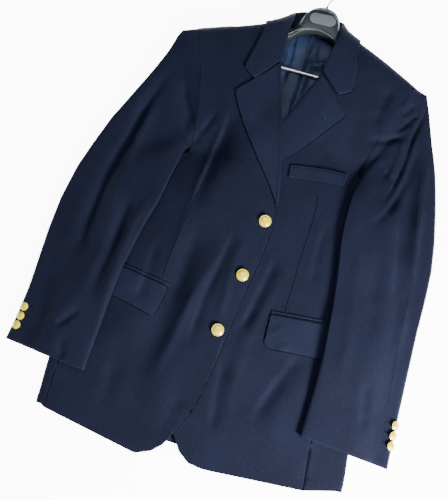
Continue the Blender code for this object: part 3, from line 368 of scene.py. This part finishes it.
# %% Copy a solid and smooth it
def smooth_copy(source, name, levels, material, rim=50):
    pick(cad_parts[source])
    bpy.ops.object.duplicate()
    piece = bpy.context.active_object
    piece.name = name
    piece.data.name = name
    bpy.ops.object.mode_set(mode="EDIT")
    bpy.ops.mesh.select_mode(type="EDGE")
    bpy.ops.mesh.select_all(action="SELECT")
    bpy.ops.mesh.remove_doubles(threshold=0.00002)
    bpy.ops.mesh.tris_convert_to_quads(face_threshold=math.radians(50),
                                       shape_threshold=math.radians(60))
    bpy.ops.mesh.select_all(action="DESELECT")
    bpy.ops.mesh.edges_select_sharp(sharpness=math.radians(rim))
    bpy.ops.transform.edge_crease(value=1.0)
    bpy.ops.mesh.select_mode(type="VERT")
    bpy.ops.transform.vert_crease(value=0.6)
    bpy.ops.object.mode_set(mode="OBJECT")
    soften = piece.modifiers.new("soften", "SUBSURF")
    soften.levels = levels
    soften.render_levels = levels
    bpy.ops.object.modifier_apply(modifier="soften")
    piece.data.materials.clear()
    piece.data.materials.append(material)
    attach(piece, "root")
    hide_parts(source)
    return piece


# %% [markdown]
# The folds then move the copy's points up and down. Each layer reads the same height at the
# same place, so nothing is pushed through its neighbour. Low, irregular noise adds the slack
# that no pressed cloth is without. Last, a Displace modifier swells each panel a tenth of a
# millimetre, as pressed cloth closes up at a seam, and the steep walls of turned edges get a
# darker wool, painted shade.

# %% Fold, swell and shade
def rise_at(points, top, under):
    """Rise of design points (n, 3): top folds above, under folds at the resting side."""
    x, y, z = points.T
    upper = smooth((z - 5) / 8)
    rise = fold_height(x, y, top) * upper
    if under:
        rise += fold_height(x, y, under) * smooth((5 - z) / 3)
    rumple = [noise.noise(Vector((a * 0.013, b * 0.011, 3.1))) * 1.1
              + noise.noise(Vector((a * 0.034, b * 0.03, 7.7))) * 0.28 for a, b in zip(x, y)]
    return rise + np.array(rumple) * upper


# The collar and the shoulder ends of the photographed cloth lie pulled up a little more.
# x, pull
NECK_PULL = ((-110, 0), (-80, 1), (-50, 5.5), (-25, 5), (15, 3), (50, 4), (90, 4), (150, 4),
             (195, 3), (216, 0))


def crease(piece, top, under=()):
    spots = np.array([v.co for v in piece.data.vertices])
    local = spots * 1000 - (CENTRE_X, CENTRE_Y, 0)
    spots[:, 2] += rise_at(local, top, under) / 1000
    pull = np.interp(local[:, 0], *np.array(NECK_PULL).T)
    spots[:, 1] += pull * smooth((local[:, 1] - 670) / 50) / 1000
    piece.data.vertices.foreach_set("co", spots.ravel())
    piece.data.update()


def swell(piece, amount):
    pick(piece)
    if amount:
        puff = piece.modifiers.new("swell", "DISPLACE")
        puff.mid_level = 0.0
        puff.strength = amount / 1000
        bpy.ops.object.modifier_apply(modifier="swell")
    bpy.ops.object.shade_smooth_by_angle(angle=math.radians(50))


def shade_rim(piece):
    """The steep walls of a laid-on piece's turned edge get a darker wool: painted shade."""
    piece.data.materials.append(WOOL_RIM_PAINTED_SHADE)
    for face in piece.data.polygons:
        if abs(face.normal.z) < 0.45:
            face.material_index = 1


# %% [markdown]
# ## The panels
# Fronts, lapels, collar, sleeves, sides, backs and pockets go through the same steps. Only
# the tables that fold them differ: a sleeve has its own, and what lies under the hollow of
# the garment reads the back's.

# %% Dress every panel
# solid, name of the piece, levels, folds above, folds below
PANELS = (
    ("front_left", "left_front_panel", 3, BODY_FOLDS, BACK_FOLDS),
    ("front_right", "right_front_panel", 3, BODY_FOLDS, BACK_FOLDS),
    ("lapel_left", "left_lapel", 3, BODY_FOLDS, ()),
    ("lapel_right", "right_lapel", 3, BODY_FOLDS, ()),
    ("collar", "top_collar", 2, BODY_FOLDS, ()),
    ("sleeve_left_top", "left_top_sleeve", 3, LEFT_SLEEVE_FOLDS, UNDER_SLEEVE_FOLDS),
    ("sleeve_left_under", "left_under_sleeve", 2, LEFT_SLEEVE_FOLDS, UNDER_SLEEVE_FOLDS),
    ("sleeve_right_top", "right_top_sleeve", 3, RIGHT_SLEEVE_FOLDS, UNDER_SLEEVE_FOLDS),
    ("sleeve_right_under", "right_under_sleeve", 2, RIGHT_SLEEVE_FOLDS, UNDER_SLEEVE_FOLDS),
    ("side_left", "left_side_body", 2, BODY_FOLDS, BACK_FOLDS),
    ("side_right", "right_side_body", 2, BODY_FOLDS, BACK_FOLDS),
    ("back_left", "left_back_panel", 2, (), BACK_FOLDS),
    ("back_right", "right_back_panel", 2, (), BACK_FOLDS),
    ("flap_left", "left_pocket_flap", 3, BODY_FOLDS, ()),
    ("flap_right", "right_pocket_flap", 3, BODY_FOLDS, ()),
    ("jet_left", "left_pocket_jetting", 2, BODY_FOLDS, ()),
    ("jet_right", "right_pocket_jetting", 2, BODY_FOLDS, ()),
    ("breast_welt", "breast_pocket_welt", 3, BODY_FOLDS, ()),
)
cloth = {}
TURNED = ("lapel", "collar", "flap", "breast", "jet")
for source, name, levels, top, under in PANELS:
    turned = source.startswith(TURNED)
    piece = smooth_copy(source, name, levels, WOOL_TURNED if turned else WOOL)
    crease(piece, top, under)
    swell(piece, 0.1)
    if turned:
        shade_rim(piece)
    cloth[source] = piece
    print(name, "triangles", triangles(piece))

# %% [markdown]
# The lining shows only in the neck. It is thinner and slacker than the wool, so it has its
# own narrow folds, with a pleat down the middle of the back.

# %% The lining
lining = smooth_copy("back_lining", "back_lining_satin", 4, SATIN)
spots = np.array([v.co for v in lining.data.vertices])
local = spots * 1000 - (CENTRE_X, CENTRE_Y, 0)
spots[:, 2] += fold_height(local[:, 0], local[:, 1], LINING_FOLDS) / 1000
lining.data.vertices.foreach_set("co", spots.ravel())
swell(lining, 0.0)
cloth["back_lining"] = lining
print("lining triangles", triangles(lining))

# %% [markdown]
# ## Seams, darts and buttonholes
# A dart is a wedge sewn away, so only its seam shows; the darts and the welt's stitching are
# cords of nearly black wool, painted shade in the seam. A buttonhole is a short bar of
# thread. They could be painted in the material, but a thin round cord has a real edge and
# shade. Its points are dropped on to the cloth with a ray, then partly sunk.

# %% Lines laid on the cloth
def tree_of(pieces):
    points, faces = [], []
    for piece in pieces:
        start = len(points)
        points += [v.co.copy() for v in piece.data.vertices]
        faces += [tuple(start + k for k in p.vertices) for p in piece.data.polygons]
    return BVHTree.FromPolygons(points, faces)


def laid_line(name, path, radius, sunk, material, ground):
    line = rounded(path)
    run = np.concatenate(([0], np.cumsum(np.hypot(*np.diff(line, axis=0).T))))
    count = max(6, int(run[-1] / 3))
    xs = np.interp(np.linspace(0, run[-1], count), run, line[:, 0])
    ys = np.interp(np.linspace(0, run[-1], count), run, line[:, 1])
    spots = []
    for x, y in zip(xs, ys):
        hit, normal, _, _ = ground.ray_cast(at(x, y, 120), Vector((0, 0, -1)))
        if hit is not None:
            spots.append(hit + normal * (radius - sunk) / 1000)
    bpy.ops.object.select_all(action="DESELECT")
    bpy.ops.curve.primitive_bezier_curve_add(location=(0, 0, 0))
    cord = bpy.context.active_object
    cord.data.splines.clear()
    spline = cord.data.splines.new("POLY")
    spline.points.add(len(spots) - 1)
    for point, spot in zip(spline.points, spots):
        point.co = (*spot, 1)
    cord.data.bevel_depth = radius / 1000
    cord.data.bevel_resolution = 2
    cord.data.use_fill_caps = True
    bpy.ops.object.convert(target="MESH")
    cord = bpy.context.active_object
    cord.name = name
    cord.data.name = name
    bpy.ops.object.shade_smooth_by_angle(angle=math.radians(60))
    cord.data.materials.clear()
    cord.data.materials.append(material)
    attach(cord, "root")
    return cord


upper = tree_of([cloth[k] for k in cloth if not k.startswith(("back", "side"))])
# The darts and the welt's stitching use the nearly black wool: painted shade in their seams.
# name, radius, sunk, material, path
LINES = (
    ("right_front_dart", 0.5, 0.42, WOOL_SEAM_SHADOW, ((-111, 454), (-112, 434), (-118, 391),
                                            (-123, 348), (-128, 303), (-130, 261))),
    ("left_front_dart", 0.5, 0.42, WOOL_SEAM_SHADOW, ((91, 475), (94, 449), (94, 425), (91, 370),
                                           (91, 318), (90, 263))),
    ("left_hind_arm_seam", 0.4, 0.25, WOOL_TURNED, ((258, 560), (268, 490), (280, 425),
                                               (288, 360), (289, 300), (291, 242),
                                               (296, 186), (296, 150))),
    ("lapel_buttonhole", 0.9, 0.35, WOOL_THREAD, ((54, 631), (61, 623), (67, 615))),
    ("welt_stitching", 0.25, 0.15, WOOL_SEAM_SHADOW, ((32, 513), (80, 521), (126, 529))),
    ("welt_end_stitching", 0.25, 0.15, WOOL_SEAM_SHADOW, ((126.5, 511), (127.5, 531))),
)
for name, radius, sunk, material, path in LINES:
    laid_line(name, path, radius, sunk, material, upper)
print("laid lines", len(LINES))

# %% [markdown]
# Under every pressed edge, a thin cord of nearly black wool is laid as painted shade. It is
# found from the solid: where a rim has lower cloth just outside it, a thin cord follows the
# rim. Where the cloth outside is nearly level, as along the lapels' roll lines, the cord is
# thinner and sinks deeper, painted shade in a pressed crease.

# %% Painted shadow cords under edges
def height_at(ground, spot):
    hit = ground.ray_cast(Vector((spot.x, spot.y, 0.12)), Vector((0, 0, -1)))[0]
    return -1.0 if hit is None else hit.z


# Above this height the rims lie on the garment's outline, and no cord is laid.
SHADOW_CORD_TOP_Y = 752


def edge_shadow_cords(source, radius, sunk, lowest, highest, ground):
    """Cords of painted shade along the rims that stand lowest to highest millimetres over what
    is outside.
    """
    own = tree_of([cloth[source]])
    shape = bmesh.new()
    shape.from_mesh(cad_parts[source].data)
    bmesh.ops.remove_doubles(shape, verts=shape.verts, dist=0.00002)
    shape.normal_update()
    kept, outward = {}, {}
    for edge in shape.edges:
        if len(edge.link_faces) != 2:
            continue
        flat, wall = sorted(edge.link_faces, key=lambda face: -face.normal.z)
        if flat.normal.z < 0.5 or abs(wall.normal.z) > 0.5:
            continue
        away = Vector((wall.normal.x, wall.normal.y, 0)).normalized()
        middle = (edge.verts[0].co + edge.verts[1].co) / 2
        if middle.y > at(0, SHADOW_CORD_TOP_Y).y:
            continue
        inner = height_at(ground, middle - away * 0.0015)
        if abs(inner - height_at(own, middle - away * 0.0015)) > 0.0002:
            continue
        outer = height_at(ground, middle + away * 0.0012)
        if outer > 0.0005 and lowest < (inner - outer) * 1000 < highest:
            for here, there in (edge.verts, reversed(edge.verts)):
                kept.setdefault(here, []).append(there)
                outward[here] = outward.get(here, Vector((0, 0, 0))) + away
    made = 0
    left = set(kept)
    while left:
        ends = [v for v in left if len(kept[v]) == 1] or list(left)
        here = min(ends, key=lambda v: v.index)
        chain = []
        while here is not None:
            left.discard(here)
            chain.append(here)
            here = next((v for v in kept[here] if v in left), None)
        spots = [v.co + outward[v].normalized() * (radius + 0.1) / 1000 for v in chain]
        path = [(p.x * 1000 - CENTRE_X, p.y * 1000 - CENTRE_Y) for p in spots]
        if len(path) > 2:
            made += 1
            # Both kinds are cords of nearly black wool, painted shade.
            kind = "edge_shadow_cord" if lowest > 0 else "crease_shadow_cord"
            cord = laid_line(f"{source}_{kind}_{made}", path, radius, sunk, WOOL_SEAM_SHADOW, ground)
    shape.free()
    return made


# Cords of painted shade under pressed edges, then along the lapels' roll lines.
for source in ("front_right", "lapel_left", "lapel_right", "collar", "flap_left",
               "flap_right"):
    print(source, "edge rolls", edge_shadow_cords(source, 0.65, 0.25, 0.6, 6.0, upper))
for source in ("lapel_left", "lapel_right"):
    print(source, "seam lines", edge_shadow_cords(source, 0.45, 0.75, -1.5, 0.6, upper))

# %% [markdown]
# ## Buttons
# A blazer button is a stamped brass cup closed over a back plate, with a rolled rim and a
# shank. One is extruded ring by ring from a cylinder, and each real place gets a copy.
# Its face is plain but for one raised ring.

# %% One button, then nine copies
# radii of the two sizes, then the front button's rings: radius, height above the cloth
FRONT_BUTTON = 10.8
CUFF_BUTTON = 7.4
BUTTON_RINGS = ((2.2, 2.0), (9.2, 2.5), (10.4, 2.8), (10.8, 3.5), (10.5, 4.2), (9.7, 4.6),
                (9.0, 4.3), (8.6, 4.5), (7.4, 5.3), (5.6, 6.0), (3.6, 6.5), (1.4, 6.8))


def button_model(name, scale):
    bpy.ops.object.select_all(action="DESELECT")
    bpy.ops.mesh.primitive_cylinder_add(vertices=48, radius=2.2 * scale / 1000,
                                        depth=1.0 * scale / 1000,
                                        location=(0, 0, 0.5 * scale / 1000))
    made = bpy.context.active_object
    made.name = name
    bpy.ops.object.transform_apply(location=True)
    bpy.ops.object.mode_set(mode="EDIT")
    bpy.ops.mesh.select_mode(type="FACE")
    bpy.ops.mesh.select_all(action="DESELECT")
    shape = bmesh.from_edit_mesh(made.data)
    for face in shape.faces:
        face.select_set(face.normal.z > 0.9)
    bmesh.update_edit_mesh(made.data)
    radius, height = 2.2, 1.0
    for wide, high in BUTTON_RINGS:
        bpy.ops.mesh.extrude_region_move(
            TRANSFORM_OT_translate={"value": (0, 0, (high - height) * scale / 1000)})
        bpy.ops.transform.resize(value=(wide / radius, wide / radius, 1))
        radius, height = wide, high
    bpy.ops.object.mode_set(mode="OBJECT")
    return made


def seat(source):
    """Foot and outward direction of a button's solid."""
    spots = np.array([v.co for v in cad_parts[source].data.vertices])
    middle = spots.mean(0)
    axis = np.linalg.svd(spots - middle)[2][2]
    axis = axis if axis[2] > 0 else -axis
    return middle + axis * ((spots - middle) @ axis).min(), axis


def place_button(model, source, name, folds):
    foot, axis = seat(source)
    local = foot * 1000 - (CENTRE_X, CENTRE_Y, 0)
    rise = rise_at(local[None] + (0, 0, 3.0), folds, ())[0]
    pick(model)
    bpy.ops.object.duplicate()
    piece = bpy.context.active_object
    piece.name = name
    piece.data.name = name
    piece.location = Vector(foot) + Vector((0, 0, rise / 1000))
    piece.rotation_euler = Vector(axis).to_track_quat("Z", "Y").to_euler()
    bpy.ops.object.transform_apply(location=True, rotation=True)
    bpy.ops.object.shade_smooth_by_angle(angle=math.radians(35))
    piece.data.materials.append(BRASS)
    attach(piece, "root")
    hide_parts(source)
    return piece


large = button_model("large_button", 1.0)
small = button_model("small_button", CUFF_BUTTON / FRONT_BUTTON)
for number in (1, 2, 3):
    place_button(large, f"button_{number}", f"front_button_{number}",
                                BODY_FOLDS)
    for hand, folds in (("left", LEFT_SLEEVE_FOLDS), ("right", RIGHT_SLEEVE_FOLDS)):
        place_button(small, f"cuff_button_{hand}_{number}",
                                    f"{hand}_cuff_button_{number}", folds)
for model in (large, small):
    bpy.data.objects.remove(model)

# %% [markdown]
# ## Cuff buttonholes
# The front's buttonholes are hidden, because the buttoned side lies on top. At the cuffs,
# each hole is a bar of close thread that reaches from under the button along the sleeve;
# the bar is real, and its nearly black wool is painted shade.

# %% Buttonhole bars
for number in (1, 2, 3):
    for hand, step in (("left", -1), ("right", 1)):
        foot, axis = seat(f"cuff_button_{hand}_{number}")
        x, y = foot[0] * 1000 - CENTRE_X, foot[1] * 1000 - CENTRE_Y
        laid_line(f"{hand}_cuff_buttonhole_{number}",
                  ((x + 3 * step, y + 1), (x + 9 * step, y + 2), (x + 15 * step, y + 3)),
                  0.6, 0.35, WOOL_SEAM_SHADOW, upper)

# %% [markdown]
# ## Hanger
# The body is one moulding with a thin raised rib near its edges, in a lighter grey that is a
# painted highlight; the badge is a plain oval plate, and the bar is plated wire. The neck
# block is stretched and the bar lifted a little, to where the photographed ones lie.

# %% Hanger pieces
BLOCK_Y = 800
BLOCK_STRETCH = 0.17
BAR_LIFT = 0.0022
hanger = smooth_copy("hanger_body", "hanger_moulding", 3, BLACK, 60)
for v in hanger.data.vertices:
    v.co.y += BLOCK_STRETCH * max(0.0, v.co.y - at(0, BLOCK_Y).y)
swell(hanger, 0.2)
badge = smooth_copy("hanger_badge", "blank_badge", 1, GREY, 40)
pick(badge)
edge = badge.modifiers.new("edge", "BEVEL")
edge.width = 0.0004
edge.segments = 2
edge.limit_method = "ANGLE"
bpy.ops.object.modifier_apply(modifier="edge")
swell(badge, 0.0)
bar = smooth_copy("trouser_bar", "trouser_bar_wire", 1, STEEL, 60)
for v in bar.data.vertices:
    v.co.y += BAR_LIFT
swell(bar, 0.1)
ferrule = smooth_copy("hook_ferrule", "hook_ferrule_plastic", 2, BLACK, 60)
swell(ferrule, 0.0)
hook = smooth_copy("hanger_hook", "hook_wire", 2, STEEL, 60)
swell(hook, 0.05)
moulding = tree_of([hanger])
# name, radius, sunk, path
RIBS = (
    ("lower_rib_highlight", 0.8, 0.4, ((-44, 764), (-34, 772.5), (-24, 777), (-11, 781), (8, 785.5),
                             (27, 781), (39, 776.5), (49, 768), (60, 757))),
    ("upper_rib_highlight", 0.6, 0.3, ((-24, 800), (-20, 812), (-10, 821), (8, 825.5), (26, 822),
                             (36, 814), (42, 802))),
)
# The ribs' lighter grey is a painted highlight along the moulding's edges.
for name, radius, sunk, path in RIBS:
    laid_line(name, path, radius, sunk, RIB_PAINTED_HIGHLIGHT, moulding)
print("hanger triangles", triangles(hanger))

# %% [markdown]
# ## Underarm strips of painted shade
# Under each arm the seam turns under and closes the gap between side body and sleeve. A
# small strip of nearly black wool, bent from a grid, stands for it there as painted shade.

# %% Underarm strips
def underarm_strip(name, middle, heading, length, width, z):
    bpy.ops.object.select_all(action="DESELECT")
    bpy.ops.mesh.primitive_grid_add(x_subdivisions=24, y_subdivisions=8, size=1,
                                    location=(0, 0, 0))
    strip = bpy.context.active_object
    strip.name = name
    strip.data.name = name
    turn = math.radians(heading)
    for v in strip.data.vertices:
        a, b = v.co.x * length, v.co.y * width
        drop = 1.5 * math.sin(a * 0.08) - 2.0 * (2 * v.co.y) ** 2
        v.co = at(middle[0] + a * math.cos(turn) - b * math.sin(turn),
                  middle[1] + a * math.sin(turn) + b * math.cos(turn), z + drop)
    wall = strip.modifiers.new("wall", "SOLIDIFY")
    wall.thickness = 0.0014
    bpy.ops.object.modifier_apply(modifier="wall")
    bpy.ops.object.shade_smooth_by_angle(angle=math.radians(50))
    # The strip's nearly black wool is painted shade.
    strip.data.materials.append(WOOL_SEAM_SHADOW)
    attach(strip, "root")
    return strip


strips = [underarm_strip("right_underarm_painted_shade", (-168, 482), 66, 150, 44, 6.0),
          underarm_strip("left_underarm_painted_shade", (154, 543), 100, 90, 34, 6.0)]


# %% [markdown]
# Under an armhole seam lies a tape that stops the cut edge from stretching. It is a grid
# bent along the seam, a few millimetres below the lower of its two sides; it keeps light
# from passing through the seam, and its nearly black wool is painted shade where the gap shows.

# %% Armhole tapes of painted shade
def seam_tape(name, path, width, below, ground):
    """A strip of nearly black wool, painted shade, under a seam, hung a given distance below
    the lower of its two sides.
    """
    line = rounded(path)
    run = np.concatenate(([0], np.cumsum(np.hypot(*np.diff(line, axis=0).T))))
    count = int(run[-1] / 4)
    places = np.linspace(0, run[-1], count)
    line = np.stack([np.interp(places, run, line[:, k]) for k in (0, 1)], axis=1)
    along = np.gradient(line, axis=0)
    along /= np.hypot(*along.T)[:, None]
    aside = np.stack((-along[:, 1], along[:, 0]), axis=1)
    height = []
    for p, n in zip(line, aside):
        seen = [height_at(ground, at(*(p + n * k))) for k in (-7, -5, 5, 7)]
        seen = [z for z in seen if z > 0.004]
        height.append(min(seen) if seen else np.nan)
    height = np.array(height)
    known = ~np.isnan(height)
    height = np.interp(places, places[known], height[known])
    bpy.ops.object.select_all(action="DESELECT")
    bpy.ops.mesh.primitive_grid_add(x_subdivisions=count - 1, y_subdivisions=4, size=1,
                                    location=(0, 0, 0))
    tape = bpy.context.active_object
    tape.name = name
    tape.data.name = name
    for v in tape.data.vertices:
        i = min(count - 1, int(round((v.co.x + 0.5) * (count - 1))))
        spot = line[i] + aside[i] * v.co.y * width
        v.co = at(spot[0], spot[1], height[i] * 1000 - below)
    wall = tape.modifiers.new("wall", "SOLIDIFY")
    wall.thickness = 0.001
    bpy.ops.object.modifier_apply(modifier="wall")
    bpy.ops.object.shade_smooth_by_angle(angle=math.radians(50))
    tape.data.materials.append(WOOL_SEAM_SHADOW)
    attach(tape, "root")
    return tape


strips.append(seam_tape("right_armhole_painted_shade_tape", ((-206, 712), (-190, 677), (-173, 627),
                                               (-162, 579), (-157, 537), (-157, 512)),
                        14, 3.2, upper))
strips.append(seam_tape("left_armhole_painted_shade_tape", ((207, 710), (190, 686), (179, 656), (170, 621),
                                              (163, 587), (151, 545)), 14, 3.2, upper))
strips.append(seam_tape("right_underarm_painted_shade_tape", ((-158, 540), (-157, 508), (-163, 474)), 26, 4.6,
                        upper))
print("strips", [triangles(s) for s in strips])

# %% [markdown]
# ## What each cloth was cut to
# Every sheet's flat cut in metres is listed, and printed beside the flat area of its shape.

# %% Sheets
# solid, width, length, what it lies on
CUTS = (
    ("back_left", 0.232, 0.800, ()),
    ("back_right", 0.236, 0.796, ()),
    ("side_left", 0.150, 0.560, ("back_left",)),
    ("side_right", 0.140, 0.515, ("back_right",)),
    ("front_left", 0.330, 0.836, ("back_left",)),
    ("front_right", 0.320, 0.834, ("back_right",)),
    ("lapel_left", 0.108, 0.272, ("front_left",)),
    ("lapel_right", 0.104, 0.272, ("front_right",)),
    ("collar", 0.430, 0.120, ("back_left",)),
    ("sleeve_left_top", 0.250, 0.690, ("sleeve_left_under",)),
    ("sleeve_left_under", 0.170, 0.680, ()),
    ("sleeve_right_top", 0.250, 0.690, ("sleeve_right_under",)),
    ("sleeve_right_under", 0.200, 0.680, ()),
    ("breast_welt", 0.106, 0.028, ("front_left",)),
    ("flap_left", 0.136, 0.062, ("front_left",)),
    ("flap_right", 0.128, 0.062, ("front_right",)),
    ("jet_left", 0.136, 0.012, ("front_left",)),
    ("jet_right", 0.128, 0.012, ("front_right",)),
    ("back_lining", 0.120, 0.240, ("back_left",)),
)
for source, wide, long, under in CUTS:
    piece = cloth[source]
    area = sum(p.area for p in piece.data.polygons) / 2
    list(under)
    print(source, "flat", wide, long, "area", round(area, 4), round(area / wide / long, 2))
for strip, flat in zip(strips, ((0.044, 0.15), (0.034, 0.09), (0.014, 0.21), (0.014, 0.18),
                             (0.026, 0.07))):
    area = sum(p.area for p in strip.data.polygons) / 2
    print(strip.name, "area", round(area, 5), round(area / flat[0] / flat[1], 2))

# %% [markdown]
# ## Floor, light and camera
# A white floor that glows a little, as the photograph is cut out on white, a soft key light
# from the lower right, a weaker one overhead, and the camera above, looking down at about
# 78 degrees. The camera's place was fitted to the photographed outline.

# %% Stage
bpy.ops.mesh.primitive_grid_add(x_subdivisions=4, y_subdivisions=4, size=8.0,
                                location=(0, 0, 0))
floor = bpy.context.active_object
floor.name = "floor"
floor_material, floor_shader = new_material("pale_floor")
floor_shader.inputs["Base Color"].default_value = hex_colour("#f4f4f2")
floor_shader.inputs["Roughness"].default_value = 0.9
floor_shader.inputs["Emission Color"].default_value = (1, 1, 1, 1)
floor_shader.inputs["Emission Strength"].default_value = 10.0
floor.data.materials.append(floor_material)


def area_light(name, place, target, size, power, colour):
    bpy.ops.object.light_add(type="AREA", location=place)
    lamp = bpy.context.active_object
    lamp.name = name
    lamp.data.size = size
    lamp.data.energy = power
    lamp.data.color = hex_colour(colour)[:3]
    lamp.rotation_euler = (Vector(target) - Vector(place)).to_track_quat("-Z", "Y").to_euler()
    return lamp


area_light("key", (1.0, -0.98, 0.74), (0.05, -0.1, 0), 0.42, 74, "#fffaf2")
area_light("overhead", (-0.1, 0.45, 1.7), (0, 0, 0), 1.2, 17, "#f4f8ff")
world = bpy.data.worlds.new("studio")
world.use_nodes = True
world.node_tree.nodes["Background"].inputs["Color"].default_value = (1, 1, 1, 1)
world.node_tree.nodes["Background"].inputs["Strength"].default_value = 0.085
bpy.context.scene.world = world

LOOK = at(-42.0, 341.05)
AZIMUTH = math.radians(16.62)
ELEVATION = math.radians(77.64)
DISTANCE = 1.2332
away = Vector((math.cos(ELEVATION) * math.sin(AZIMUTH),
               -math.cos(ELEVATION) * math.cos(AZIMUTH), math.sin(ELEVATION)))
bpy.ops.object.camera_add(location=LOOK + away * DISTANCE)
camera = bpy.context.active_object
camera.rotation_euler = (-away).to_track_quat("-Z", "Y").to_euler()
camera.data.lens = 50
camera.data.sensor_width = 36
bpy.context.scene.camera = camera
print("camera", [round(c, 4) for c in camera.location])
